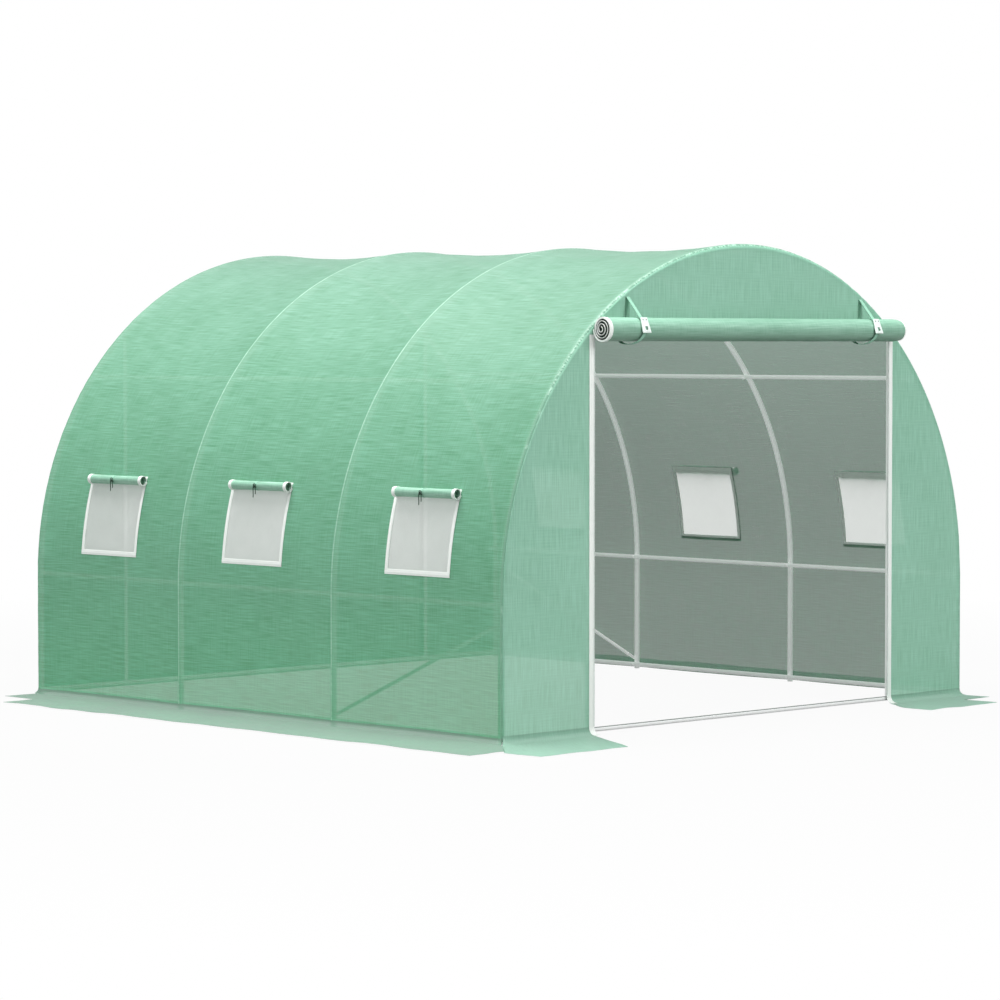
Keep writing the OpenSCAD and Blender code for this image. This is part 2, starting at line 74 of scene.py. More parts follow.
# Cover: a film that hangs on the hoops, dips between them and wraps round the end hoops
film_gap = 0.0016
cover_r = arch_r + tube_r + film_gap
rim_r = tube_r + film_gap
rim_turn = math.radians(150)
rim_length = rim_r * rim_turn
sag = 0.0235
floor_gap = 0.0044
foot_bend_r = 0.022
film_layers = 0.0012
arc_length = cover_r * math.pi / 2
wall_length = leg_top - foot_bend_r - floor_gap
foot_length = foot_bend_r * math.pi / 2
skirt_edge = cad_high.x + 0.008
skirt_length = skirt_edge - cover_r - foot_bend_r
wall_foot = arc_length + wall_length
half_girth = wall_foot + foot_length + skirt_length

# Corners of the ground skirt: flared, stepped or tapered
flare_end = -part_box("left_skirt")[0].y
flare_run = 0.17
flare_reach = 0.20
left_narrow = 0.195
left_cut = 0.220
front_narrow = 0.145
front_cut = 0.150
front_past = 0.035
taper_tip = 0.030
settled = 0.80

# Ends: panels beside the door, door head and skirts in front of them
door_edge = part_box("front_right_panel")[0].x
head_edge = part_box("front_head_panel")[0].z
panel_y = end_y + rim_r + 0.0018
panel_r = arch_r + 0.45 * rim_r
panel_gap = 0.0020
panel_bend_r = 0.034
panel_run = panel_bend_r * math.pi / 2
panel_foot = panel_gap + panel_bend_r
front_left_skirt = 0.408
front_right_skirt = 0.334
rear_skirt = cad_high.y - panel_y

# Windows: opening, white binding and rolled flap
window_places = {-1: (-bay, 0.036, bay + 0.015), 1: (-bay - 0.030, 0.0, bay)}
window_width = 0.350
window_height = 0.315
window_sill = 0.105
binding_width = 0.020
opening_low = window_sill + binding_width
opening_high = opening_low + window_height
window_roll_r = 0.0195
flap_pitch = 0.0035
flap_turns = 3.5
window_roll_front = 0.195
window_roll_back = 0.173
window_roll_lift = 0.443
window_roll_lean = window_roll_lift / cover_r
roll_clear = 0.0023
roll_tape_width = 0.016
screen_lap = 0.011

# Tape round a window: how far out it lies, the widths of its sides, sill and head, and its top
outer_tape = (0.0016, (0.017, 0.023, 0.017), 0.469)
inner_tape = (-0.0030, (0.015, 0.010, 0.028), 0.468)

# Rolled door and its straps
roll_low, roll_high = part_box("front_door_roll")
door_roll_y = (roll_low.y + roll_high.y) / 2
door_roll_z = (roll_low.z + roll_high.z) / 2
door_roll_half = roll_high.x
door_roll_r = (roll_high.z - roll_low.z) / 2
strap_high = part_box("front_door_straps")[1]
door_pitch = 0.012
door_turns = 3.7
door_fold = 0.0052
door_cone = 0.010
strap_width = 0.022
strap_x = strap_high.x - 0.0135
strap_seam_z = strap_high.z - 0.004
strap_wrap_r = door_roll_r + 0.0022

# Slide buckles on the straps: a plate with a slot, a lip round the slot and two eyes
buckle_tall = 0.066
buckle_top_half = 0.0180
buckle_foot_half = 0.0240
buckle_thick = 0.005
buckle_tilt = math.radians(18.7)
slot_half = 0.008
slot_low = -0.022
slot_high = slot_low + 2 * slot_half
lip_inner = 0.0082
lip_outer = 0.0125
lip_reach = 0.0044

# Zips on the doors' edges
zip_half = 0.0148
zip_pitch = 0.0031
tooth_size = (0.0046, 0.0022, 0.0018)

# Fine pitches of the film's grid, the net's threads and the stitches
rip_pitch = 0.0125
rip_width = 0.0016
net_pitch = 0.0016
net_hole = 0.00058
stitch_pitch = 0.0055

# Tie cords under the rolled window flaps, as drop, outward and rearward steps in millimetres
tail_r = 0.0019
tail_spread = 0.0066
knot_out = 0.0253
tail_drop = 0.0083
LONG_TAIL = (
    (0, 0, 0), (3, 0.3, 0.1), (6, 0.5, 0.2), (9, 0.6, 0.4), (12, 0.6, 0.5), (15, 0.5, 0.7),
    (18, 0.4, 0.8), (21, 0.2, 0.8), (24, 0.1, 0.9), (27, 0, 0.9), (30, -0.1, 0.8), (33, -0.2, 0.8),
    (36, -0.2, 0.7), (39, -0.1, 0.6), (42, 0.1, 0.6), (45, 0.3, 0.7), (48, 0.5, 0.8),
)
SHORT_TAIL = (
    (0, 0, 0), (2, 0.2, -0.1), (4, 0.4, -0.1), (6, 0.5, -0.2), (8, 0.6, -0.3), (10, 0.6, -0.3),
    (12, 0.6, -0.4), (14, 0.5, -0.4), (17, 0.4, -0.5), (20, 0.3, -0.5), (22, 0.2, -0.4),
    (24, 0.1, -0.4), (26, 0, -0.3), (28, 0, -0.2), (31, 0.1, -0.1), (34, 0.3, 0.1),
)

# Camera, fitted to the photograph
CAMERA_PLACE = (-11.6626, -11.7971, 1.5955)
CAMERA_YAW = math.radians(44.705)
CAMERA_PITCH = math.radians(-2.452)
FOCAL_PIXELS = 3666.7
IMAGE_PIXELS = 1000
SENSOR = 36.0


def place_camera():
    data = bpy.data.cameras.new("photo_camera")
    data.sensor_width = SENSOR
    data.lens = FOCAL_PIXELS / IMAGE_PIXELS * SENSOR
    data.clip_end = 200
    camera = bpy.data.objects.new("photo_camera", data)
    camera.location = CAMERA_PLACE
    camera.rotation_euler = (math.pi / 2 + CAMERA_PITCH, 0, -CAMERA_YAW)
    bpy.context.scene.collection.objects.link(camera)
    bpy.context.scene.camera = camera


class Shade:
    """An output socket of a finish; arithmetic on it adds Math nodes."""

    def __init__(self, finish, socket):
        self.finish = finish
        self.socket = socket

    def math(self, operation, *values):
        return self.finish.add("ShaderNodeMath", {"operation": operation}, dict(enumerate(values)))

    def __add__(self, other):
        return self.math("ADD", self, other)

    __radd__ = __add__

    def __sub__(self, other):
        return self.math("SUBTRACT", self, other)

    def __rsub__(self, other):
        return self.math("SUBTRACT", other, self)

    def __mul__(self, other):
        return self.math("MULTIPLY", self, other)

    __rmul__ = __mul__

    def __truediv__(self, other):
        return self.math("DIVIDE", self, other)

    def __pow__(self, other):
        return self.math("POWER", self, other)

    def __lt__(self, other):
        return self.math("LESS_THAN", self, other)

    def __gt__(self, other):
        return self.math("GREATER_THAN", self, other)

    def wrapped(self, period):
        return self.math("MODULO", self.math("ADD", self, 1000 * period), period)

    def sine(self):
        return self.math("SINE", self)

    def distance(self):
        return self.math("ABSOLUTE", self)

    def larger(self, other):
        return self.math("MAXIMUM", self, other)

    def clamped(self):
        return self.math("MINIMUM", self.larger(0.0), 1.0)


class Finish:
    """A new material, or the world round the scene, and the nodes that make it."""

    def __init__(self, owner):
        self.owner = bpy.data.materials.new(owner) if isinstance(owner, str) else owner
        self.owner.use_nodes = True
        self.tree = self.owner.node_tree
        self.tree.nodes.clear()

    def add(self, kind, settings=None, sockets=None, output=0):
        node = self.tree.nodes.new(kind)
        for key, value in (settings or {}).items():
            if key == "stops":
                ramp = node.color_ramp
                while len(ramp.elements) < len(value):
                    ramp.elements.new(1.0)
                for element, (place, colour) in zip(ramp.elements, value):
                    element.position = place
                    element.color = colour
            else:
                setattr(node, key, value)
        for key, value in (sockets or {}).items():
            if isinstance(value, Shade):
                self.tree.links.new(value.socket, node.inputs[key])
            else:
                node.inputs[key].default_value = value
        return Shade(self, node.outputs[output]) if node.outputs else None

    def weave_place(self):
        """The cloth's flat coordinates in metres, kept in its UV map."""
        return self.add("ShaderNodeUVMap", {"uv_map": "UVMap"})

    def object_place(self):
        return self.add("ShaderNodeTexCoord", output="Object")

    def stretched(self, place, scale):
        return self.add("ShaderNodeMapping", {}, {"Vector": place, "Scale": scale})

    def noise(self, place, scale, detail=2.0):
        return self.add("ShaderNodeTexNoise", {}, {"Vector": place, "Scale": scale, "Detail": detail})

    def axis(self, place, name):
        return self.add("ShaderNodeSeparateXYZ", {}, {"Vector": place}, name)

    def blend(self, factor, low, high):
        """A colour between two others."""
        return self.add("ShaderNodeMix", {"data_type": "RGBA"}, {0: factor, 6: low, 7: high}, 2)

    def ramp(self, factor, stops):
        return self.add("ShaderNodeValToRGB", {"stops": stops}, {"Fac": factor})

    def bump(self, height, strength, distance):
        sockets = {"Height": height, "Strength": strength, "Distance": distance}
        return self.add("ShaderNodeBump", {}, sockets)

    def surface(self, sockets):
        return self.add("ShaderNodeBsdfPrincipled", {}, sockets)

    def done(self, shader, output="ShaderNodeOutputMaterial"):
        self.add(output, {}, {"Surface": shader})
        return self.owner


def tone(red, green, blue):
    """A colour written as display values from 0 to 255."""

    def linear(value):
        value = value / 255
        return value / 12.92 if value <= 0.04045 else ((value + 0.055) / 1.055) ** 2.4

    return (linear(red), linear(green), linear(blue), 1.0)


# Finishes


def yarn_tint(f, streak, tones):
    """A colour between a deep and a pale tone that follows the streaks of the weave."""
    return f.ramp(streak, [(0.39, tones[0]), (0.61, tones[1])])


def hoop_highlights(f, weave, tint, crest):
    """Painted highlights: pale lines over the hoop crests and on the gathers along the end seams;
    the turned rim of the ends takes a paler tint, which is painted light too.
    """
    girth = f.axis(weave, "X").distance()
    length = f.axis(weave, "Y").distance()
    highlight_noise = f.noise(f.stretched(weave, (60, 9, 1)), 1.0)
    gather = f.noise(f.stretched(weave, (90, 60, 1)), 1.0)
    above = girth < wall_foot
    away = bay / 2 - ((length + bay / 2).wrapped(bay) - bay / 2).distance()
    # Painted highlight: pale lines over the hoop crests
    line = (1.15 - away / (0.0028 + highlight_noise * 0.004)).clamped() * (0.35 + highlight_noise * 0.9)
    line = line * (length < end_y - 0.1)
    # Painted light: the turned rim of the ends is tinted paler
    rim = (length > end_y + 0.006) * above
    tint = f.blend(rim * 0.7, tint, tone(126, 188, 157))
    # Painted highlight on the gathers along the seam of the ends
    seam = ((length - end_y - 0.0115).distance() < 0.0045) * (girth < 0.96 * cover_r)
    seam = seam * (gather > 0.5) * (0.45 + highlight_noise * 0.7)
    highlight = line.larger(seam) * above * crest
    return f.blend(highlight, tint, tone(206, 240, 222)), highlight


def ground_greying(f, weave, tint, blotch, flap):
    """A greyer, blotchy tone on the part of a cloth that lies on the ground."""
    if flap == "girth":
        lain = f.axis(weave, "X").distance() > wall_foot
        grey_share = 0.54 + blotch * 0.5
    else:
        lain = f.axis(weave, "Y") < panel_foot
        grey_share = 0.16 + blotch * 0.5
    return f.blend(lain * grey_share, tint, tone(116, 136, 126))


def painted_underside_shade(f, tint, under):
    """Painted shade: the rolled door is darker on its underside."""
    height = f.axis(f.object_place(), "Z")
    low = ((door_roll_z + 0.012 - height) / 0.05).clamped() * (height > door_roll_z - 0.08)
    return f.blend(low * under, tint, tone(48, 94, 68))


def woven_film(name, tones, through, alpha, glow, wall=None, crest=0.0, flap=None, under=0.0):
    """Laminated woven film: long tape yarns both ways, a faint rip-stop grid and slight see-through.

    Wall tones take over towards the foot of the cloth; the roof tones carry painted light: a greyer sheen
    on the film, darker shade on the lining. With a crest share, a painted highlight makes the cloth paler
    where it rests on a hoop and in the gathers of the end seams. A flap is the part that lies on the
    ground, told by girth or by height; it is greyer. Under is painted shade on the rolled door's underside.
    """
    f = Finish(name)
    weave = f.weave_place()
    girth = f.axis(weave, "X")
    length = f.axis(weave, "Y")
    weft = f.noise(f.stretched(weave, (230, 8, 1)), 1.0)
    warp = f.noise(f.stretched(weave, (8, 230, 1)), 1.0)
    blotch = f.noise(f.stretched(weave, (2.2, 2.2, 1)), 1.0, 3.0)
    yarn = f.noise(f.stretched(weave, (420, 30, 1)), 1.0, 1.0)
    grid = (girth.wrapped(rip_pitch) < rip_width) * 0.5 + (length.wrapped(rip_pitch) < rip_width) * 0.5
    streak = weft * 0.6 + warp * 0.25 + blotch * 0.15
    tint = yarn_tint(f, streak, tones)
    solid = alpha + (streak - 0.5) * 0.16 + grid * 0.05
    if wall:
        # Painted light graded by height: greyer roof tones stand for sheen on the film, darker ones for
        # shade on the lining
        foot = (girth.distance() / wall_foot).clamped() ** 1.5
        tint = f.blend(foot, tint, yarn_tint(f, streak, wall))
        solid = solid - foot * 0.05
    tint = f.blend(grid * 0.10, tint, tones[1])
    # Painted highlights on the hoop crests and end seams, which also make the film less see-through there
    if crest:
        tint, highlight = hoop_highlights(f, weave, tint, crest)
        solid = solid + highlight * 0.3
    if flap:
        tint = ground_greying(f, weave, tint, blotch, flap)
    # Under: painted shade on the rolled door's underside
    if under:
        tint = painted_underside_shade(f, tint, under)
    normal = f.bump(weft * 0.45 + warp * 0.3 + yarn * 0.35 + grid * 0.25, 0.22, 0.0012)
    film = f.surface({"Base Color": tint, "Roughness": 0.36 + streak * 0.16, "Normal": normal})
    lit = f.add("ShaderNodeBsdfTranslucent", {}, {"Color": through, "Normal": normal})
    veil = (1.0, 0.86, 0.94, 1) if crest else (1, 1, 1, 1)
    clear = f.add("ShaderNodeBsdfTransparent", {}, {"Color": veil})
    body = f.add("ShaderNodeMixShader", {}, {0: glow, 1: film, 2: lit})
    return f.done(f.add("ShaderNodeMixShader", {}, {0: 1 - solid, 1: body, 2: clear}))


def galvanised(name, low, high, glow=0.0, dark_line_height=None):
    """Zinc-coated tube under a pale lacquer: soft spangle, draw lines and dull patches.

    Glow is painted light: the tube gives off light in its own colour, standing in for the light that the
    film throws on a tube behind it. With a dark line height, the tube is dark above it, a thin line along
    its top.
    """
    f = Finish(name)
    place = f.object_place()
    spangle = f.add("ShaderNodeTexVoronoi", {"feature": "F1"}, {"Vector": place, "Scale": 160.0}, "Color")
    flake = f.axis(spangle, "X")
    patch = f.noise(place, 9.0, 4.0)
    draw = f.noise(f.stretched(place, (300, 8, 300)), 1.0, 2.0)
    shade = flake * 0.25 + patch * 0.55 + draw * 0.2
    colour = f.blend(shade, low, high)
    # A thin dark line along the top of the tube, above the given height
    if dark_line_height:
        colour = f.blend((f.axis(place, "Z") > dark_line_height) * 0.8, colour, tone(70, 84, 78))
    rough = 0.34 + patch * 0.22 - flake * 0.06
    normal = f.bump(flake * 0.4 + draw * 0.6, 0.10, 0.0006)
    # Emission is painted light: the tube glows though it is no lamp
    sockets = {"Base Color": colour, "Roughness": rough, "Metallic": 0.05, "Normal": normal}
    sockets.update({"Emission Color": colour, "Emission Strength": glow})
    return f.done(f.surface(sockets))


def screen_net(name):
    """Fine knitted insect net: pale threads with small square holes."""
    f = Finish(name)
    weave = f.weave_place()
    across = (f.axis(weave, "X").wrapped(net_pitch) - net_pitch / 2).distance()
    along = (f.axis(weave, "Y").wrapped(net_pitch) - net_pitch / 2).distance()
    thread = 1 - (across < net_hole) * (along < net_hole)
    cloud = f.noise(f.stretched(weave, (14, 14, 1)), 1.0, 3.0)
    colour = f.blend(cloud, tone(240, 242, 239), tone(252, 253, 251))
    solid = thread * 0.26 + 0.50 + cloud * 0.10
    normal = f.bump(thread, 0.25, 0.0004)
    net = f.surface({"Base Color": colour, "Roughness": 0.75, "Alpha": solid, "Normal": normal})
    lit = f.add("ShaderNodeBsdfTranslucent", {}, {"Color": tone(240, 243, 240), "Normal": normal})
    return f.done(f.add("ShaderNodeMixShader", {}, {0: 0.5, 1: net, 2: lit}))


def stitched_tape(name, pale, deep, seam_offset):
    """White woven tape with fine ribs and two rows of stitches, along the tape's length."""
    f = Finish(name)
    weave = f.weave_place()
    across = f.axis(weave, "X")
    along = f.axis(weave, "Y")
    rib = (along * (2 * math.pi / 0.0022)).sine() * 0.5 + 0.5
    cloud = f.noise(f.stretched(weave, (30, 30, 1)), 1.0, 3.0)
    row = (across.distance() - seam_offset).distance() < 0.0009
    stitch = row * (along.wrapped(stitch_pitch) < 0.0036)
    hole = row * (1 - (along.wrapped(stitch_pitch) < 0.0042))
    colour = f.blend(cloud, deep, pale)
    colour = f.blend(stitch * 0.6, colour, tone(222, 232, 226))
    # Painted shade in the stitch holes
    colour = f.blend(hole * 0.45, colour, tone(150, 168, 158))
    height = rib * 0.25 + stitch * 0.9 - hole * 0.6
    normal = f.bump(height, 0.35, 0.0008)
    tape = f.surface({"Base Color": colour, "Roughness": 0.62 + cloud * 0.2, "Normal": normal})
    lit = f.add("ShaderNodeBsdfTranslucent", {}, {"Color": pale, "Normal": normal})
    return f.done(f.add("ShaderNodeMixShader", {}, {0: 0.15, 1: tape, 2: lit}))


def twisted_cord(name):
    """Dark three-strand cord: twist lines across the cord and fine fibre noise."""
    f = Finish(name)
    place = f.object_place()
    twist = f.noise(f.stretched(place, (260, 260, 900)), 1.0, 1.0)
    fibre = f.noise(place, 700.0, 3.0)
    colour = f.blend(twist * 0.7 + fibre * 0.3, tone(14, 34, 24), tone(54, 86, 68))
    normal = f.bump(twist * 0.7 + fibre * 0.3, 0.5, 0.0008)
    return f.done(f.surface({"Base Color": colour, "Roughness": 0.8, "Normal": normal}))


def webbing(name):
    """Green strap webbing: ribs across, painted shade lines along both edges and slight fading."""
    f = Finish(name)
    weave = f.weave_place()
    across = f.axis(weave, "X")
    along = f.axis(weave, "Y")
    rib = (along * (2 * math.pi / 0.0026)).sine() * 0.5 + 0.5
    # Painted shade: dark lines along both edges of the strap
    edge = across.distance() > strap_width / 2 - 0.0024
    fade = f.noise(f.stretched(weave, (40, 12, 1)), 1.0, 3.0)
    colour = f.blend(fade, tone(124, 178, 152), tone(156, 202, 180))
    colour = f.blend(edge * 0.6, colour, tone(62, 104, 82))
    colour = f.blend(rib * 0.14, colour, tone(104, 152, 128))
    normal = f.bump(rib, 0.4, 0.0008)
    return f.done(f.surface({"Base Color": colour, "Roughness": 0.6 + fade * 0.2, "Normal": normal}))


def moulded_plastic(name, deep, pale, gloss):
    """Moulded plastic: fine sandblast texture, faint flow marks and dull handled patches."""
    f = Finish(name)
    place = f.object_place()
    grain = f.noise(place, 1400.0, 2.0)
    flow = f.noise(f.stretched(place, (60, 60, 18)), 1.0, 3.0)
    colour = f.blend(flow, deep, pale)
    normal = f.bump(grain, 0.12, 0.0004)
    rough = gloss + flow * 0.16
    return f.done(f.surface({"Base Color": colour, "Roughness": rough, "Normal": normal}))


def pale_floor(name):
    """Even pale ground that keeps the object's shadow, looks white to the camera and fades out far away."""
    f = Finish(name)
    rays = f.add("ShaderNodeLightPath", output="Is Camera Ray")
    glossy = f.add("ShaderNodeLightPath", output="Is Glossy Ray")
    clear = f.add("ShaderNodeLightPath", output="Is Transmission Ray")
    seen = rays.larger(glossy).larger(clear)
    away = f.add("ShaderNodeVectorMath", {"operation": "LENGTH"}, {0: f.object_place()}, "Value")
    far = ((away - 3.0) / 4.0).clamped()
    ground = f.add("ShaderNodeBsdfDiffuse", {}, {"Color": (0.3, 0.3, 0.3, 1)})
    white = f.add("ShaderNodeEmission", {}, {"Color": (1, 1, 1, 1), "Strength": 1.0})
    return f.done(f.add("ShaderNodeMixShader", {}, {0: seen * (0.95 + far * 0.05), 1: ground, 2: white}))


# Making and finishing pieces


def start_fresh():
    bpy.ops.object.select_all(action="DESELECT")


def settle(piece, finish):
    """Gives a piece its finish, or a finish a face, and its place on the frame."""
    piece.data.materials.clear()
    for layer in finish if isinstance(finish, tuple) else (finish,):
        piece.data.materials.append(layer)
    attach(piece, "root")
    return piece


def pick(piece):
    """Makes a piece the active one and the only one selected."""
    start_fresh()
    bpy.context.view_layer.objects.active = piece
    piece.select_set(True)


def apply_modifier(piece, kind, **settings):
    """Adds a modifier to a piece and applies it."""
    bpy.context.view_layer.objects.active = piece
    modifier = piece.modifiers.new(kind.lower(), kind)
    for key, value in settings.items():
        setattr(modifier, key, value)
    bpy.ops.object.modifier_apply(modifier=modifier.name)


def thicken(piece, thickness):
    """Gives a flat piece its thickness, half to each side."""
    apply_modifier(piece, "SOLIDIFY", thickness=thickness, offset=0.0)


def bevel_edges(piece, width):
    sharp = math.radians(50)
    apply_modifier(piece, "BEVEL", width=width, segments=2, limit_method="ANGLE", angle_limit=sharp)


def smooth(piece, angle=None):
    pick(piece)
    if angle is None:
        bpy.ops.object.shade_smooth()
    else:
        bpy.ops.object.shade_smooth_by_angle(angle=math.radians(angle))


def box(place, size):
    """A box whose place and size are worked into its mesh."""
    start_fresh()
    bpy.ops.mesh.primitive_cube_add(size=1, location=place, scale=size)
    bpy.ops.object.transform_apply(location=True, rotation=True, scale=True)
    return bpy.context.object


def disc(corners, radius, depth, place):
    """A flat cylinder whose place is worked into its mesh."""
    start_fresh()
    bpy.ops.mesh.primitive_cylinder_add(vertices=corners, radius=radius, depth=depth, location=place)
    bpy.ops.object.transform_apply(location=True, rotation=True, scale=True)
    return bpy.context.object


def lines(stops, step):
    """Grid lines through every stop, about a step apart."""
    places = [np.array([stops[0]])]
    for low, high in zip(stops, stops[1:]):
        count = max(1, math.ceil(abs(high - low) / step - 1e-6))
        places.append(np.linspace(low, high, count + 1)[1:])
    return np.concatenate(places)


def cloth_grid(name, across, along, hang, weave=None, flip=False):
    """A flat cut on grid lines, moved to its hung shape by hang(u, v); its UV map keeps the flat cut."""
    start_fresh()
    columns = len(across) - 1
    rows = len(along) - 1
    bpy.ops.mesh.primitive_grid_add(x_subdivisions=columns, y_subdivisions=rows, size=1)
    piece = bpy.context.object
    piece.name = name
    mesh = piece.data
    mesh.name = name
    corner = np.empty(len(mesh.vertices) * 3)
    mesh.vertices.foreach_get("co", corner)
    corner = corner.reshape(-1, 3)
    u = np.asarray(across)[np.rint((corner[:, 0] + 0.5) * columns).astype(int)]
    v = np.asarray(along)[np.rint((corner[:, 1] + 0.5) * rows).astype(int)]
    mesh.vertices.foreach_set("co", np.column_stack(hang(u, v)).astype(np.float32).ravel())
    flat = np.column_stack(weave(u, v) if weave else (u, v))
    loops = np.empty(len(mesh.loops), int)
    mesh.loops.foreach_get("vertex_index", loops)
    mesh.uv_layers[0].data.foreach_set("uv", flat[loops].astype(np.float32).ravel())
    if flip:
        mesh.flip_normals()
    mesh.update()
    smooth(piece)
    return piece


def flat_corners(piece):
    """Flat places of the four corners of each face, from the UV map."""
    mesh = piece.data
    flat = np.empty(len(mesh.loops) * 2)
    mesh.uv_layers[0].data.foreach_get("uv", flat)
    return flat.reshape(-1, 4, 2)


def cut_out(piece, inside):
    """Deletes the faces whose flat middle lies inside(u, v)."""
    middle = flat_corners(piece).mean(axis=1)
    pick(piece)
    bpy.ops.object.mode_set(mode="EDIT")
    bpy.ops.mesh.select_mode(type="FACE")
    bpy.ops.mesh.select_all(action="DESELECT")
    bpy.ops.object.mode_set(mode="OBJECT")
    piece.data.polygons.foreach_set("select", inside(middle[:, 0], middle[:, 1]))
    bpy.ops.object.mode_set(mode="EDIT")
    bpy.ops.mesh.delete(type="FACE")
    bpy.ops.object.mode_set(mode="OBJECT")


def crumple(u, v, size, seed, waves=12, low=0.0, high=math.pi):
    """Smooth uneven height, about -1 to 1, from waves about a size long in seeded directions."""
    chance = np.random.default_rng(seed)
    height = np.zeros_like(u)
    for _ in range(waves):
        turn = chance.uniform(low, high)
        length = size * chance.uniform(0.7, 1.6)
        phase = chance.uniform(0, 2 * math.pi)
        height += np.sin(2 * math.pi * (u * math.cos(turn) + v * math.sin(turn)) / length + phase)
    return height / math.sqrt(waves)


def ease(value):
    """0 to 1 with soft ends."""
    value = np.clip(value, 0, 1)
    return value * value * (3 - 2 * value)


def add_lining(piece):
    """Gives a film its inner face, which takes the piece's second finish."""
    apply_modifier(piece, "SOLIDIFY", thickness=film_layers, offset=-1.0, material_offset=1, use_rim=True)


# The cover


def dip(y):
    """Depth of the cover below its crest on the hoops."""
    away = (np.abs(y) + bay / 2) % bay - bay / 2
    return sag * np.maximum(1 - (2 * away / bay) ** 2, 0)


def flap_limit(left, front, reach):
    """How far a side flap runs along the tunnel, at a distance out from the wall."""
    start = end_y + rim_r
    share = 0.9 * np.minimum(reach / flare_run, 1) + 0.05 * reach / flare_run
    flared = start + (flare_end - start) * share
    stepped = np.where(reach < left_narrow, end_y + 0.004, end_y - left_cut)
    tapered = end_y - np.maximum(reach - taper_tip, 0)
    return np.where(left, np.where(front, flared, stepped), tapered)


def cover_hang(girth, along):
    """Place of the cover's cloth: girth counts from the ridge, along from the tunnel's middle."""
    reach = np.abs(girth)
    far = np.abs(along)
    past = np.maximum(far - end_y, 0)
    turn = past / rim_r
    crinkle = 0.0007 * crumple(girth, along, 0.07, 3) * np.minimum(turn, 1)
    wrap = rim_r + np.maximum(crinkle, -0.0003)
    dipped = -dip(along) + 0.0011 * crumple(girth, along, 0.33, 5) * (dip(along) / sag) ** 0.5
    out = np.where(past > 0, wrap * np.cos(turn) - rim_r, dipped)
    y = np.where(past > 0, end_y + wrap * np.sin(turn), far)
    angle = np.minimum(reach, arc_length) / cover_r
    drop = np.clip(reach - arc_length, 0, wall_length)
    bend = np.clip((reach - arc_length - wall_length) / foot_bend_r, 0, math.pi / 2)
    flat = np.maximum(reach - arc_length - wall_length - foot_length, 0)
    spread = foot_bend_r * (1 - np.cos(bend)) + flat
    laid = ease(bend / (math.pi / 2))
    share = flat / skirt_length
    keep = np.where(past > 0, 1 - laid, 1 - 0.75 * laid * share)
    x = (cover_r + out * keep) * np.sin(angle) + spread
    z = leg_top + (cover_r + out) * np.cos(angle) - drop - foot_bend_r * np.sin(bend)
    pull = np.maximum(far - settled, 0) / (end_y + rim_length - settled)
    limit = flap_limit(girth < 0, along < 0, spread)
    y_flap = np.minimum(far, settled) + pull * (limit - settled)
    y = (1 - laid) * y + laid * y_flap
    wave = 0.5 + 0.5 * np.sin(along * 9.0 + 1.3 * np.sin(along * 3.1) + girth)
    ripple = 0.5 + 0.5 * np.clip(crumple(spread * 2, along, 0.28, 11), -1, 1)
    z = z + laid * (0.002 * wave + 0.003 * ripple) * (0.25 + 0.75 * share) * ease(share * 3)
    x = x + laid * share * 0.005 * np.sin(along * 6.3 + 0.7)
    return np.sign(girth) * x, np.sign(along) * y, z


def girth_at(lift):
    """Girth coordinate at a lift up the cloth from the top of the legs."""
    return arc_length - lift


def window_inside(girth, along):
    tall = (np.abs(girth) > girth_at(opening_high)) & (np.abs(girth) < girth_at(opening_low))
    inside = np.zeros(len(girth), bool)
    for side, places in window_places.items():
        for middle in places:
            inside |= (np.sign(girth) == side) & (np.abs(along - middle) < window_width / 2)
    return inside & tall


def flat_area(piece):
    """Area of a piece's flat cut."""
    corner = flat_corners(piece)
    first = corner[:, 2] - corner[:, 0]
    second = corner[:, 3] - corner[:, 1]
    return float(np.abs(first[:, 0] * second[:, 1] - first[:, 1] * second[:, 0]).sum() / 2)


def make_cover(finish):
    """One cloth from the left skirt over the ridge to the right skirt, with the window openings cut."""
    laid = wall_foot + foot_length - foot_bend_r
    half = [
        0.0,
        girth_at(opening_high),
        girth_at(opening_low),
        arc_length,
        wall_foot,
        wall_foot + foot_length,
        laid + left_narrow - 0.003,
        laid + left_narrow + 0.003,
        half_girth,
    ]
    stops = [-s for s in reversed(half)] + half[1:]
    girth = lines(stops, 0.024)
    middles = [middle for places in window_places.values() for middle in places]
    edges = {round(m + hand * window_width / 2, 6) for m in middles for hand in (-1, 1)}
    along = lines(sorted(edges | set(hoop_places)), 0.024)
    rim = np.linspace(0, rim_length, 9)[1:]
    along = np.concatenate((-end_y - rim[::-1], along, end_y + rim))
    cover = cloth_grid("cover", girth, along, cover_hang)
    cut_out(cover, window_inside)
    area = flat_area(cover)
    settle(cover, finish)
    add_lining(cover)
    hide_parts("left_wall_cover", "right_wall_cover", "roof_cover", "left_skirt", "right_skirt")
    flat = (2 * (end_y + rim_length), 2 * half_girth)


# End panels


def panel_top(across):
    """Height of an end panel's upper edge, under the end hoop."""
    return leg_top + np.sqrt(np.maximum(panel_r**2 - across**2, 0))


def panel_forward(across, z):
    """Distance of an end panel from the tunnel's middle: flat, then over the front of the hoop's rim."""
    past = np.maximum(np.hypot(across, np.maximum(z - leg_top, 0)) - arch_r, 0)
    return end_y + np.sqrt((panel_y - end_y) ** 2 - past**2)


def foot_shape(down):
    """Forward and downward run of cloth that bends out on to the ground, and how far it has laid down."""
    bend = np.clip(down / panel_bend_r, 0, math.pi / 2)
    flat = np.maximum(down - panel_run, 0)
    spread = panel_bend_r * (1 - np.cos(bend)) + flat
    return spread, panel_bend_r * np.sin(bend), ease(bend / (math.pi / 2)), flat


def lean_out(spread):
    """Edge of a skirt that widens towards the doorway."""
    return 0.55 * spread


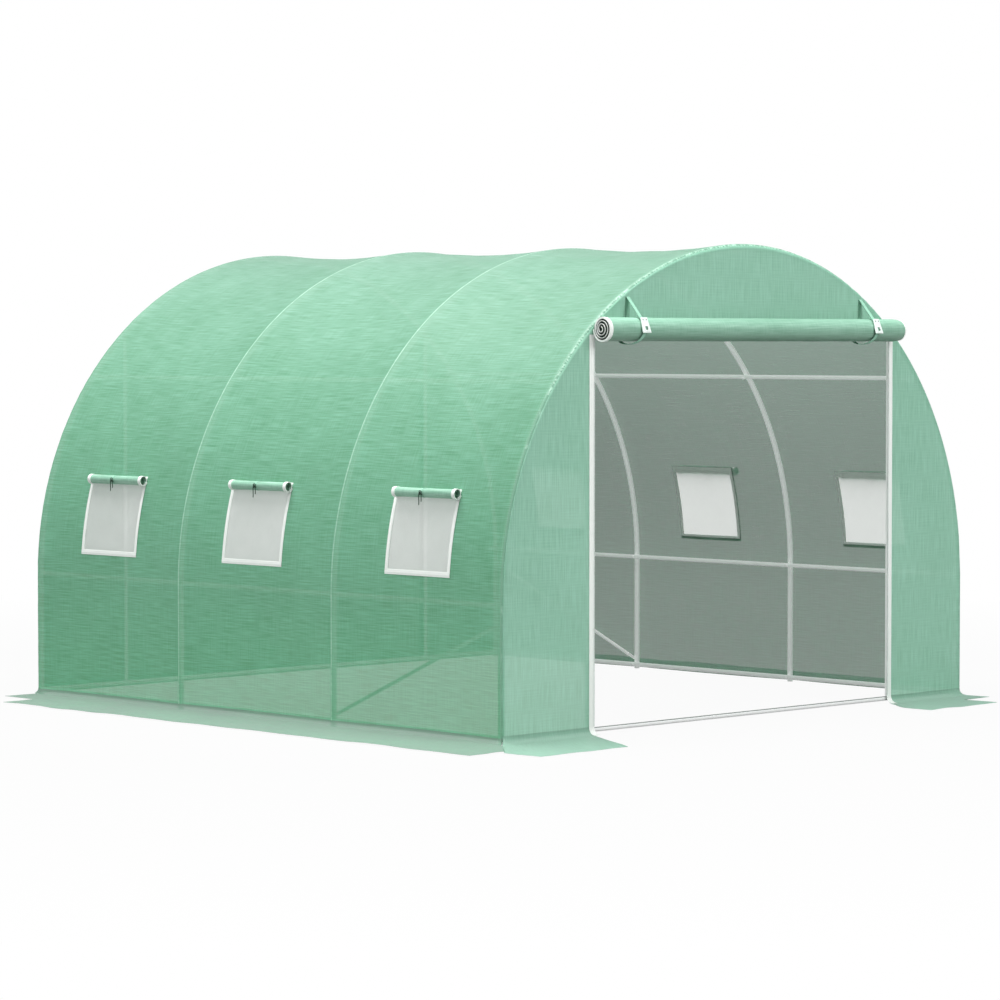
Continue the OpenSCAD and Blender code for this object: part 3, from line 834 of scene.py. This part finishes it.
def lean_in(spread):
    """Edge of a skirt that draws in from the doorway."""
    return -0.11 * ease(spread / 0.2)


def stay(spread):
    """Edge of a skirt that runs straight out."""
    return 0.0 * spread


def flare(spread):
    """Edge of a skirt that spreads past the wall to meet the side skirt."""
    return np.minimum(0.006 + 0.92 * spread, flare_reach)


def step_back(spread):
    """Edge of a skirt that steps in from the wall."""
    return np.where(spread < front_narrow, front_past * ease(spread / 0.04), arch_r - front_cut - panel_r)


def taper(spread):
    """Edge of a skirt that tapers in from the wall."""
    return -np.maximum(spread - taper_tip, 0)


def end_hang(end, side, outer_edge, inner_edge, reach, seed, ripple):
    """Place of an end panel's cloth with its skirt.

    Across counts from the tunnel's middle. Up is a share of the height, and below zero a run of skirt.
    """

    def hang(across, up):
        body = np.clip(up, 0, 1)
        spread, drop, laid, flat = foot_shape(-up)
        z = panel_foot + body * (panel_top(across) - panel_foot) - drop
        forward = panel_forward(across, z) + spread
        span = (across - door_edge) / (panel_r - door_edge)
        calm = ease(span * 6) * ease((1 - span) * 8)
        swell = crumple(across, z, 0.34, seed, low=0.9, high=2.2)
        forward = forward + ripple * calm * swell * ease((1 - body) * 5) * (1 - laid)
        x = across + laid * ((1 - span) * inner_edge(spread) + span * outer_edge(spread))
        share = flat / (reach - panel_bend_r)
        wave = 0.5 + 0.5 * np.sin(across * 11 + seed)
        lift = 0.5 + 0.5 * np.clip(crumple(across, spread, 0.25, seed + 1), -1, 1)
        z = z + laid * (0.002 * wave + 0.003 * lift) * (0.2 + 0.8 * share) * ease(share * 3)
        return side * x, end * forward, z

    return hang


def end_weave(across, up):
    return across, np.where(up > 0, panel_foot + up * (panel_top(across) - panel_foot), panel_foot + up)


def make_side_panel(name, end, side, outer_edge, inner_edge, reach, seed, finish, nodes):
    """A panel between the wall and the door, with its skirt flap on the ground."""
    across = lines([door_edge, panel_r - 0.02, panel_r], 0.016)
    body = np.linspace(0, 1, 86)
    flat = reach - panel_bend_r
    skirt = lines([-panel_run - flat, -panel_run, 0.0], 0.012)
    up = np.concatenate((skirt[:-1], body))
    hang = end_hang(end, side, outer_edge, inner_edge, reach, seed, 0.0018)
    piece = cloth_grid(name, across, up, hang, end_weave, flip=end * side > 0)
    area = flat_area(piece)
    settle(piece, finish)
    add_lining(piece)
    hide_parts(*nodes)
    height = float(panel_top(np.array([door_edge]))[0]) + flat + panel_run - panel_foot
    hoop = "front_hoop" if end < 0 else "rear_hoop"


def head_hang(end, seed):
    def hang(across, up):
        z = head_edge + up * (panel_top(across) - head_edge)
        swell = crumple(across, z, 0.4, seed, low=0.2, high=1.2)
        forward = panel_forward(across, z) + 0.0016 * swell * ease((1 - up) * 3)
        return across, end * forward, z

    return hang


def make_head_panel(name, end, seed, finish, node):
    """The panel over a door, from the door's head up to the hoop."""
    across = lines([-door_edge, door_edge], 0.016)
    up = np.linspace(0, 1, 28)

    def weave(x, share):
        return x, head_edge + share * (panel_top(x) - head_edge)

    piece = cloth_grid(name, across, up, head_hang(end, seed), weave, flip=end > 0)
    settle(piece, finish)
    add_lining(piece)
    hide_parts(node)
    width = 2 * door_edge
    height = leg_top + panel_r - head_edge
    0.72 * width * height


def make_rear_door(finish):
    """The closed rear door, hanging from its head in slack upright folds, with a ground flap."""
    across = lines([-door_edge + 0.002, door_edge - 0.002], 0.016)
    body = lines([panel_foot, head_edge], 0.02)
    flat_run = rear_skirt - panel_bend_r
    skirt = lines([-panel_run - flat_run, -panel_run, 0.0], 0.016)
    up = np.concatenate((skirt[:-1], body - body[0]))

    def hang(x, height):
        spread, drop, laid, flat = foot_shape(-height)
        z = panel_foot + np.maximum(height, 0) - drop
        calm = ease((door_edge - np.abs(x)) / 0.12) * ease((head_edge - z) / 0.5)
        fold = crumple(x, z * 0.12, 0.22, 41, low=-0.25, high=0.25)
        forward = panel_y + spread + 0.0055 * calm * (fold + 0.8) * (1 - laid)
        lift = 0.5 + 0.5 * np.clip(crumple(x, spread, 0.3, 42), -1, 1)
        z = z + laid * 0.005 * lift * ease(flat / flat_run * 3)
        return x * (1 - 0.012 * laid), forward, z

    piece = cloth_grid("rear_door_cloth", across, up, hang, flip=True)
    settle(piece, finish)
    add_lining(piece)
    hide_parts("rear_door")
    height = head_edge - panel_foot + flat_run + panel_run


def make_end_panels(layers):
    """The panels and skirts of both ends, the door heads and the closed rear door."""
    for name, end, side, outer_edge, inner_edge, reach, seed, skirts in (
        ("front_left", -1, -1, flare, lean_out, front_left_skirt, 21, ["front_left_skirt"]),
        ("front_right", -1, 1, step_back, lean_in, front_right_skirt, 22, ["front_right_skirt"]),
        ("rear_left", 1, -1, taper, stay, rear_skirt, 23, []),
        ("rear_right", 1, 1, taper, stay, rear_skirt, 24, ["rear_skirt"]),
    ):
        nodes = [f"{name}_panel", *skirts]
        make_side_panel(f"{name}_cloth", end, side, outer_edge, inner_edge, reach, seed, layers, nodes)
    make_head_panel("front_head_cloth", -1, 31, layers, "front_head_panel")
    make_head_panel("rear_head_cloth", 1, 32, layers, "rear_head_panel")
    make_rear_door(layers)


# Rolled cloth, tapes and ties


def run_length(path):
    """Distance along a flat path at each of its points."""
    return np.concatenate(([0.0], np.cumsum(np.hypot(*np.diff(path, axis=0).T))))


def along_path(path, run, u):
    """Out and up on a flat path at distances along it."""
    return np.interp(u, run, path[:, 0]), np.interp(u, run, path[:, 1])


def winding(radius, pitch, turns, step):
    """A wound path from its outer end at the back, down and under the roll and on inwards.

    Each turn is round up to its last quarter, which steps in by one layer.
    """
    turn = np.linspace(0, turns, int(turns * 2 * math.pi * radius * 0.6 / step))
    whole = np.floor(turn)
    reach = radius - pitch * (whole + np.clip((turn - whole - 0.75) / 0.25, 0, 1))
    angle = 2 * math.pi * turn
    return np.column_stack((-reach * np.cos(angle), -reach * np.sin(angle)))


def wound_cloth(name, path, along, place, weave=None):
    """Cloth that follows a flat path of (out, up) points, drawn out along the roll."""
    run = run_length(path)

    def hang(u, v):
        return place(*along_path(path, run, u), v)

    return cloth_grid(name, run, along, hang, weave)


def end_tape(name, path, places, place, thickness, finish):
    """White tape sewn round the ends of a roll: one band of (low, high) at each place."""
    bands = []
    for number, (low, high) in enumerate(places):

        def weave(u, v, middle=(low + high) / 2):
            return v - middle, u

        band = wound_cloth(f"{name}_{number}", path, lines([low, high], 0.006), place, weave)
        thicken(band, thickness)
        bands.append(band)
    piece = join(name, bands)
    smooth(piece, 40)
    return settle(piece, finish)


def join(name, members):
    """Makes one piece of several."""
    start_fresh()
    for member in members:
        member.select_set(True)
    bpy.context.view_layer.objects.active = members[0]
    bpy.ops.object.join()
    members[0].name = name
    members[0].data.name = name
    return members[0]


def cord_curve(name, points, radius, closed=False):
    """A round cord along points."""
    data = bpy.data.curves.new(name, "CURVE")
    data.dimensions = "3D"
    data.bevel_depth = radius
    data.bevel_resolution = 3
    data.use_fill_caps = True
    spline = data.splines.new("POLY")
    spline.points.add(len(points) - 1)
    for point, place in zip(spline.points, points):
        point.co = (*place, 1)
    spline.use_cyclic_u = closed
    piece = bpy.data.objects.new(name, data)
    bpy.context.scene.collection.objects.link(piece)
    return piece


def knot(name, middle, out, radius, cord_r):
    """A pulled-tight cord knot that lies flat against its backing, facing out."""
    out = Vector(out).normalized()
    across = Vector((0, 1, 0))
    up = out.cross(across).normalized()
    points = []
    for step in range(72):
        t = 2 * math.pi * step / 72
        flat = math.sin(t) + 2 * math.sin(2 * t)
        tall = math.cos(t) - 2 * math.cos(2 * t)
        deep = -math.sin(3 * t)
        lift = deep * cord_r * 1.02
        points.append(Vector(middle) + across * flat * radius / 3 + up * tall * radius / 3 + out * lift)
    pick(cord_curve(name, points, cord_r, closed=True))
    bpy.ops.object.convert(target="MESH")
    return bpy.context.object


def roll_axis(middle):
    """Distance of a window roll's axis from the tunnel's: its outermost end rests on the tape."""
    off = middle - bay * round(middle / bay)
    away = max(window_roll_front - off, window_roll_back + off)
    return cover_r + roll_clear - dip(away) + window_roll_r


def make_tie_tails(finish):
    """Two limp cords under each window roll, one shorter than the other."""
    number = 0
    for side, places in window_places.items():
        for middle in places:
            reach = roll_axis(middle) + knot_out
            x = reach * math.cos(window_roll_lean)
            top = leg_top + reach * math.sin(window_roll_lean) - tail_drop
            for hand, route in ((1, LONG_TAIL), (-1, SHORT_TAIL)):
                number += 1
                points = [
                    (side * (x + out / 1000), middle + hand * tail_spread + back / 1000, top - drop / 1000)
                    for drop, out, back in route
                ]
                piece = cord_curve(f"tie_tail_{number}", points, tail_r)
                settle(piece, finish)
                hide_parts("tie_tails")


# Windows


def wall_point(side, lift, y, out):
    """A place on a side wall: lift counts up the cloth from the top of the legs."""
    radial = cover_r - dip(y) + out
    return side * radial * np.cos(lift / cover_r), y, leg_top + radial * np.sin(lift / cover_r)


def window_tape(name, side, middle, out, widths, top, finish):
    """Tape round a window opening: two uprights, a sill and a head strip, up to a top lift."""
    side_width, sill_width, head_width = widths
    edge = window_width / 2
    upright = lines([opening_low - 0.001, top], 0.02)
    sideways = lines([middle - edge - side_width, middle + edge + side_width], 0.02)
    members = []
    for width, run, centre, level in (
        (side_width, upright, middle - edge - side_width / 2, False),
        (side_width, upright, middle + edge + side_width / 2, False),
        (sill_width, sideways, opening_low - sill_width / 2, True),
        (head_width, sideways, top - head_width / 2, True),
    ):

        def hang(u, v):
            puff = out + math.copysign(0.0010, out) * (1 - (2 * u / width) ** 2)
            lift, y = (centre + u, v) if level else (v, centre + u)
            return wall_point(side, lift, y, puff)

        across = np.linspace(-width / 2, width / 2, 5)
        band = cloth_grid(f"{name}_{len(members)}", across, run, hang)
        thicken(band, 0.0011)
        members.append(band)
    piece = join(name, members)
    smooth(piece, 40)
    return settle(piece, finish)


def make_window(word, side, number, middle, finishes):
    """One window: mesh screen with tape round it on both faces, and the rolled flap above it."""
    name = f"{word}_window_{number}"
    edge = window_width / 2
    lift = lines([opening_low - screen_lap, opening_high + screen_lap], 0.02)
    run = lines([middle - edge - screen_lap, middle + edge + screen_lap], 0.02)

    def hang(u, v):
        across = np.clip(1 - ((v - middle) / edge) ** 2, 0, 1)
        tall = np.clip(1 - ((u - opening_low - window_height / 2) / (window_height / 2)) ** 2, 0, 1)
        return wall_point(side, u, v, 0.0005 - 0.003 * across * tall)

    screen = cloth_grid(f"{name}_screen", lift, run, hang)
    settle(screen, finishes["net"])
    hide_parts(f"{word}_window_screens")
    tape = window_tape(f"{name}_tape", side, middle, *outer_tape, finishes["tape"])
    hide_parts("window_bindings")
    inner = window_tape(f"{name}_inner_tape", side, middle, *inner_tape, finishes["tape"])
    make_window_roll(word, side, number, middle, finishes)


def make_window_roll(word, side, number, middle, finishes):
    """The rolled flap over a window, with taped ends and its tie."""
    name = f"{word}_window_{number}"
    axis = roll_axis(middle)
    turn_x = math.cos(window_roll_lean)
    turn_z = math.sin(window_roll_lean)

    def roll_place(out, up, y):
        nip = np.exp(-(((y - middle) / 0.016) ** 2))
        squeeze = 1 - 0.06 * nip + 0.008 * np.sin(y * 61 + 2 * number)
        radial = axis + out * squeeze
        rise = up * squeeze
        return side * (radial * turn_x - rise * turn_z), y, leg_top + radial * turn_z + rise * turn_x

    front = middle - window_roll_front
    back = middle + window_roll_back
    spiral = winding(window_roll_r, flap_pitch, flap_turns, 0.003)
    lead = np.column_stack((np.full(4, -window_roll_r), np.linspace(0.016, 0.0, 4)))[:-1]
    path = np.concatenate((lead, spiral))
    flap = wound_cloth(f"{name}_flap", path, lines([front, middle, back], 0.012), roll_place)
    settle(flap, finishes["roll"])
    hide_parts(f"{word}_window_rolls")
    ends = [(front - 0.001, front + roll_tape_width), (back - roll_tape_width, back + 0.001)]
    ring = winding(window_roll_r + 0.0012, 0.0060, 1.2, 0.003)
    edging = end_tape(f"{name}_flap_tape", ring, ends, roll_place, 0.0032, finishes["tape"])
    reach = axis + knot_out - 0.001
    knot_place = (side * reach * turn_x, middle, leg_top + reach * turn_z - 0.0075)
    make_window_tie(name, side, roll_place, knot_place, finishes)


def make_window_tie(name, side, roll_place, knot_place, finishes):
    """The webbing band round a rolled flap, and the cord knot on it."""
    middle = knot_place[1]
    circle = np.linspace(0, 2 * math.pi, 49)
    band_r = window_roll_r + 0.0010
    loop = np.column_stack((-band_r * np.cos(circle), -band_r * np.sin(circle)))
    width = lines([middle - 0.005, middle + 0.005], 0.005)

    def weave(u, v):
        return v - middle, u

    band = wound_cloth(f"{name}_band", loop, width, roll_place, weave)
    thicken(band, 0.0014)
    smooth(band, 40)
    settle(band, finishes["webbing"])
    tied = knot(f"{name}_knot", knot_place, (side, 0, -0.15), 0.0098, 0.0019)
    smooth(tied)
    settle(tied, finishes["cord"])
    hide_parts("window_ties")
    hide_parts("window_ties")


# Rolled front door


def door_place(out, up, x):
    """Place on the rolled door: out is towards the front, nipped at the straps and rounded at the right."""
    nip = np.exp(-(((np.abs(x) - strap_x) / 0.03) ** 2))
    close = ease((x - door_roll_half + 0.035) / 0.035)
    squeeze = 1 - 0.018 * nip + 0.005 * np.sin(x * 23) + 0.004 * np.sin(x * 57 + 1) - 0.10 * close
    return x, door_roll_y - np.maximum(out * squeeze, -door_roll_r), door_roll_z + up * squeeze


def shade_turns(roll, first, last):
    """Gives the turns between two runs of a rolled cloth its second finish, a dark painted shade inside the
    roll.
    """
    run = flat_corners(roll)[:, :, 0].mean(axis=1)
    shaded = ((run > first) & (run < last)).astype(np.int32)
    roll.data.polygons.foreach_set("material_index", shaded)


def make_door_roll(finishes):
    """The front door, folded double and rolled up under its head, its left end drawn out like a cone."""
    face = winding(door_roll_r - 0.0004, door_pitch, door_turns, 0.004)
    back = face * (1 - door_fold / np.hypot(face[:, 0], face[:, 1]))[:, None]
    lead = np.column_stack((np.full(5, -door_roll_r + 0.0004), np.linspace(0.020, 0.0, 5)))[:-1]
    path = np.concatenate((lead, face, back[::-1]))
    inward = np.linspace(0, 1, len(face))
    inward = np.concatenate((np.zeros(len(lead)), inward, inward[::-1]))
    run = run_length(path)

    def hang(u, v):
        x, y, z = door_place(*along_path(path, run, u), v)
        return x - door_cone * np.interp(u, run, inward) * ease((-v - door_roll_half + 0.2) / 0.2), y, z

    along = lines([-door_roll_half + 0.003, -strap_x, strap_x, door_roll_half], 0.024)
    roll = cloth_grid("front_door_cloth", run, along, hang)
    settle(roll, (finishes["roll"], finishes["roll_shade"]))
    shade_turns(roll, run[len(lead)] + 2 * math.pi * door_roll_r, run[-1])
    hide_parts("front_door_roll")
    make_door_tape(finishes["tape"])


def make_door_tape(finish):
    """White tape at both ends of the rolled door: a broad outer turn and thin inner turns."""
    path = winding(door_roll_r - door_fold / 2 + 0.0008, door_pitch, door_turns, 0.004)
    share = np.linspace(0, door_turns, len(path))
    bands = []
    for hand, first, last, wide, thick in (
        (-1, 0.0, 1.0, 0.017, 0.0064),
        (-1, 0.95, door_turns, 0.005, 0.0024),
        (1, 0.0, 1.0, 0.005, 0.0060),
        (1, 0.95, door_turns, 0.005, 0.0024),
    ):
        kept = (share >= first) & (share <= last)
        run = run_length(path[kept])

        def hang(u, v):
            cone = door_cone * np.interp(u, run, share[kept]) / door_turns if hand < 0 else 0.001
            x = hand * (door_roll_half + cone - wide * v)
            return x, *door_place(*along_path(path[kept], run, u), x)[1:]

        def weave(u, v):
            return wide * (v - 0.5), u

        band = cloth_grid(f"front_door_band_{len(bands)}", run, np.linspace(0, 1, 5), hang, weave)
        thicken(band, thick)
        bands.append(band)
    tape = join("front_door_tape", bands)
    smooth(tape, 40)
    return settle(tape, finish)


def strap_path():
    """Flat path of a strap: from its seam over the front of the roll, slack under it and up the back."""
    reach = strap_wrap_r
    rise = strap_seam_z - door_roll_z
    back = door_roll_y + panel_y + 0.0009
    distance = math.hypot(back, rise)
    start = math.atan2(rise, back) - math.acos(reach / distance)
    turn = np.radians(np.arange(math.degrees(start), -172, -5.0))
    droop = 0.010 * np.exp(-(((np.degrees(turn) + 92) / 34) ** 2))
    wrap = np.column_stack(((reach + droop) * np.cos(turn), (reach + droop) * np.sin(turn)))
    front = np.linspace((back + 0.0016, rise), wrap[0], 16)[:-1]
    rear = np.linspace(wrap[-1], (back, rise - 0.004), 18)[1:]
    path = np.concatenate((front, wrap, rear))
    path[:, 0] = np.maximum(path[:, 0], back)
    return path


def make_straps(finishes):
    """Two webbing straps that hold up the rolled door, each with a white slide buckle."""
    path = strap_path()
    run = run_length(path)
    low = run[np.argmin(path[:, 1])]
    for word, side in (("left", -1), ("right", 1)):
        middle = side * strap_x

        def hang(u, v):
            out, up = along_path(path, run, u)
            swing = 0.065 * np.exp(-(((u - low - 0.035) / 0.055) ** 2))
            return v - swing, door_roll_y - out, door_roll_z + up

        def weave(u, v, middle=middle):
            return v - middle, u

        across = np.linspace(middle - strap_width / 2, middle + strap_width / 2, 7)
        strap = cloth_grid(f"{word}_door_strap", run, across, hang, weave)
        thicken(strap, 0.0012)
        smooth(strap, 40)
        settle(strap, finishes["webbing"])
        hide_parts("front_door_straps")
        make_buckle(f"{word}_door_buckle", middle, finishes)


def slotted_plate(name, across, along, hang, slot, thickness, bevel):
    """A flat plate with a slot cut through it and its edges rounded."""
    plate = cloth_grid(name, across, along, hang)
    cut_out(plate, slot)
    thicken(plate, thickness)
    bevel_edges(plate, bevel)
    return plate


def buckle_plate(name):
    """The plate of a buckle, wider at its foot, with a square slot."""
    middle_half = (buckle_foot_half + buckle_top_half) / 2
    share = slot_half / middle_half

    def hang(u, v):
        up = (v + buckle_tall / 2) / buckle_tall
        return u * (buckle_foot_half + (buckle_top_half - buckle_foot_half) * up), v, 0.0 * u

    def slot(u, v):
        return (np.abs(u) * middle_half < slot_half) & (v > slot_low) & (v < slot_high)

    across = lines([-1.0, -share, share, 1.0], 0.25)
    along = lines([-buckle_tall / 2, slot_low, slot_high, buckle_tall / 2], 0.007)
    return slotted_plate(name, across, along, hang, slot, buckle_thick, 0.0011)


def buckle_lip(name):
    """The raised lip round the slot of a buckle."""

    def hang(u, v):
        return u, v, buckle_thick / 2 + 0.0008 + 0.0 * u

    def slot(u, v):
        return (np.abs(u) < lip_inner) & (v > slot_low) & (v < slot_high)

    across = lines([-lip_outer, -lip_inner, lip_inner, lip_outer], 0.0045)
    along = lines([slot_low - lip_reach, slot_low, slot_high, slot_high + lip_reach], 0.0045)
    return slotted_plate(name, across, along, hang, slot, 0.0020, 0.0006)


def make_buckle(name, x, finishes):
    """A flat slide buckle with a raised lip and two eyes, tilted on the front of the rolled door."""
    body = join(name, [buckle_plate(f"{name}_plate"), buckle_lip(f"{name}_lip")])
    eye_places = [(hand * 0.0095, 0.0225, buckle_thick / 2) for hand in (-1, 1)]
    dots = join(f"{name}_eyes", [disc(20, 0.0023, 0.0016, place) for place in eye_places])
    reach = strap_wrap_r + 0.0009 + buckle_thick / 2
    y = door_roll_y - reach * math.cos(buckle_tilt)
    z = door_roll_z + reach * math.sin(buckle_tilt)
    turn = Matrix.Translation(Vector((x, y, z))) @ Matrix.Rotation(math.pi / 2 - buckle_tilt, 4, "X")
    for piece, finish in ((body, finishes["plastic"]), (dots, finishes["dark"])):
        smooth(piece, 35)
        piece.data.transform(turn)
        settle(piece, finish)
    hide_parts("strap_buckles")


# Zips


def make_zips(finishes):
    """White zip tapes with teeth on both doors' edges, and sliders on the closed rear door."""
    for word, end in (("front", -1), ("rear", 1)):
        for hand, side in (("left", -1), ("right", 1)):
            high = float(panel_top(np.array([door_edge + 0.024]))[0]) - 0.012 if end < 0 else head_edge
            middle = door_edge + 0.009
            across = np.linspace(-zip_half, zip_half, 7)
            along = lines([-panel_run - 0.006, 0.0, high - panel_foot], 0.01)

            def hang(u, v):
                lift = 0.0017 + 0.0007 * (1 - (u / zip_half) ** 2)
                spread, drop, laid, _ = foot_shape(-v)
                z = panel_foot + np.maximum(v, 0) - drop + lift * laid
                return side * (middle + u), end * (panel_y + spread + lift * (1 - laid)), z

            tape = cloth_grid(f"{word}_{hand}_zip_tape", across, along, hang)
            thicken(tape, 0.0012)
            smooth(tape, 40)
            settle(tape, finishes["tape"])
            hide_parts("door_zips")
            inner = middle - 0.0125 if end < 0 else middle - 0.009
            place = end * (panel_y + 0.0034)
            chain = zip_chain(f"{word}_{hand}_zip_teeth", side * inner, place, panel_foot, high)
            settle(chain, finishes["teeth"])
            if end > 0:
                slider = zip_slider(f"{word}_{hand}_zip_slider", side * inner, panel_y + 0.0046, 0.11)
                settle(slider, finishes["dark"])


def zip_chain(name, x, y, low, high):
    """One moulded tooth, repeated up the zip."""
    tooth = box((x, y, low + zip_pitch), tooth_size)
    tooth.name = name
    apply_modifier(
        tooth,
        "ARRAY",
        count=int((high - low) / zip_pitch) - 1,
        use_relative_offset=False,
        use_constant_offset=True,
        constant_offset_displace=(0, 0, zip_pitch),
    )
    return tooth


def zip_slider(name, x, y, z):
    """A zip slider: a rounded body, a bridge and a hanging pull."""
    members = []
    for width, depth, tall, drop, forward in (
        (0.0105, 0.0055, 0.0125, 0.0, 0.0),
        (0.0038, 0.0040, 0.0085, -0.001, 0.0040),
        (0.0080, 0.0018, 0.0300, -0.0175, 0.0058),
    ):
        part = box((x, y + forward, z + drop), (width, depth, tall))
        bevel_edges(part, 0.0007)
        members.append(part)
    piece = join(name, members)
    smooth(piece, 35)
    return piece


# Small fittings


def hex_bolt(name, place, out):
    """A hexagon bolt head on a round washer, standing on a tube and facing out."""
    washer = disc(24, 0.0066, 0.0014, (0, 0, 0.0007))
    head = disc(6, 0.0056, 0.0040, (0, 0, 0.0034))
    for part in (washer, head):
        bevel_edges(part, 0.0004)
    bolt = join(name, [washer, head])
    turn = Vector(out).to_track_quat("Z", "Y").to_matrix().to_4x4()
    bolt.data.transform(Matrix.Translation(Vector(place)) @ turn)
    return bolt


def make_bolts(finish):
    """Bolts through every crossing of a hoop and a rail, with their heads on the inside."""
    rail_low, rail_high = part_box("ridge_purlin")
    rail_r = (rail_high.x - rail_low.x) / 2
    purlin_low, purlin_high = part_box("right_purlin")
    lean = math.atan2((purlin_low.z + purlin_high.z) / 2 - leg_top, (purlin_low.x + purlin_high.x) / 2)
    reach = (rail_low.z + rail_high.z) / 2 - leg_top - rail_r
    bolts = []
    for y in hoop_places:
        for angle in (0.0, lean, math.pi / 2, math.pi - lean, math.pi):
            place = (reach * math.cos(angle), y, leg_top + reach * math.sin(angle))
            out = (-math.cos(angle), 0, -math.sin(angle))
            bolts.append(hex_bolt(f"bolt_{len(bolts)}", place, out))
        for node, side in (("left_base_rail", -1), ("right_base_rail", 1)):
            low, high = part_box(node)
            inner = high.x if side < 0 else low.x
            bolts.append(hex_bolt(f"bolt_{len(bolts)}", (inner, y, (low.z + high.z) / 2), (-side, 0, 0)))
    piece = join("frame_bolts", bolts)
    smooth(piece, 35)
    settle(piece, finish)


# Scene


def light_scene():
    scene = bpy.context.scene
    scene.view_settings.view_transform = "Standard"
    scene.world = bpy.data.worlds.new("studio")
    f = Finish(scene.world)
    direct = f.add("ShaderNodeLightPath", output="Is Camera Ray")
    clear = f.add("ShaderNodeLightPath", output="Is Transmission Ray")
    soft = f.add("ShaderNodeBackground", {}, {"Color": (0.95, 0.98, 1.0, 1), "Strength": 0.25})
    white = f.add("ShaderNodeBackground", {}, {"Color": (1, 1, 1, 1), "Strength": 1.0})
    mix = f.add("ShaderNodeMixShader", {}, {0: direct.larger(clear), 1: soft, 2: white})
    f.done(mix, "ShaderNodeOutputWorld")
    lamps = (
        ("key", (1.0, -9.5, 6.0), 6.0, 660.0),
        ("fill", (-9.0, -2.0, 6.5), 6.0, 340.0),
        ("top", (-1.5, 0.5, 9.0), 7.0, 1400.0),
    )
    for name, place, size, power in lamps:
        data = bpy.data.lights.new(name, "AREA")
        data.shape = "DISK"
        data.size = size
        data.energy = power
        lamp = bpy.data.objects.new(name, data)
        lamp.location = place
        aim = bpy.data.objects.new(name + "_aim", None)
        aim.location = (0, 0, 0.9)
        track = lamp.constraints.new("TRACK_TO")
        track.target = aim
        track.track_axis = "TRACK_NEGATIVE_Z"
        track.up_axis = "UP_Y"
        scene.collection.objects.link(lamp)
        scene.collection.objects.link(aim)


def lay_floor():
    start_fresh()
    bpy.ops.mesh.primitive_circle_add(vertices=96, radius=60, fill_type="NGON", location=(0, 0, -0.0005))
    floor = bpy.context.object
    floor.name = "floor"
    floor.data.materials.append(pale_floor("pale_floor"))


def make_finishes():
    """Every finish, by a short name."""
    # Roof tones against wall tones are painted light: greyer on the film's roof for sheen, darker on the
    # lining's roof for shade
    film_tones = (tone(112, 160, 132), tone(150, 191, 172))
    film_wall = (tone(91, 198, 137), tone(130, 230, 180))
    film_through = tone(164, 218, 190)
    lining_tones = (tone(84, 98, 90), tone(98, 111, 103))
    lining_wall = (tone(127, 161, 143), tone(145, 178, 161))
    lining_through = tone(150, 162, 155)
    # The end film is a lighter copy of the film: painted light on the end panels
    end_tones = (tone(156, 217, 187), tone(182, 237, 213))
    roll_tones = (tone(122, 168, 144), tone(150, 192, 171))
    # Dark tones of the rolled door's inner turns: painted shade inside the roll
    shade_tones = (tone(40, 54, 46), tone(66, 84, 74))
    lacquer = (tone(236, 239, 237), tone(252, 253, 252))
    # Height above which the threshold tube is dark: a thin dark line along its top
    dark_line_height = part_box("front_base_rail")[1].z - 0.003
    return {
        # The film's crest share sets the strength of its painted highlights
        "film": woven_film("woven_film", film_tones, film_through, 0.70, 0.30, film_wall, 0.75, "girth"),
        "lining": woven_film("film_lining", lining_tones, lining_through, 0.61, 0.10, lining_wall),
        "end": woven_film("end_film", end_tones, tone(190, 236, 214), 0.78, 0.36, flap="height"),
        # Under: painted shade on the rolled door's underside
        "roll": woven_film("roll_film", roll_tones, tone(160, 210, 184), 1.0, 0.03, under=0.6),
        "roll_shade": woven_film("roll_shade", shade_tones, tone(70, 90, 80), 1.0, 0.06),
        # Glow on the tubes is painted light
        "tube": galvanised("galvanised", tone(246, 249, 247), tone(255, 255, 255), 0.17),
        "threshold": galvanised("white_lacquer", *lacquer, dark_line_height=dark_line_height),
        "net": screen_net("insect_net"),
        "tape": stitched_tape("white_tape", tone(254, 255, 252), tone(244, 250, 246), 0.0052),
        "cord": twisted_cord("twisted_cord"),
        "webbing": webbing("strap_webbing"),
        "plastic": moulded_plastic("white_plastic", tone(216, 229, 222), tone(236, 245, 240), 0.34),
        "dark": moulded_plastic("dark_plastic", tone(28, 40, 34), tone(58, 74, 66), 0.42),
        "teeth": moulded_plastic("teeth_plastic", tone(196, 206, 201), tone(224, 231, 227), 0.38),
    }


def finish_tubes(finishes):
    """Gives the frame's own tubes their finish."""
    for name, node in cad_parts.items():
        if any(word in name for word in ("hoop", "rail", "purlin", "post", "brace")):
            for holder in node.material_slots:
                holder.material = finishes["threshold" if name == "front_base_rail" else "tube"]


place_camera()
finishes = make_finishes()
make_tie_tails(finishes["cord"])
make_cover((finishes["film"], finishes["lining"]))
make_end_panels((finishes["end"], finishes["lining"]))
for word, side in (("left", -1), ("right", 1)):
    for number, middle in enumerate(window_places[side], 1):
        make_window(word, side, number, middle, finishes)
make_door_roll(finishes)
make_straps(finishes)
make_zips(finishes)
make_bolts(finishes["tube"])
finish_tubes(finishes)
light_scene()
lay_floor()
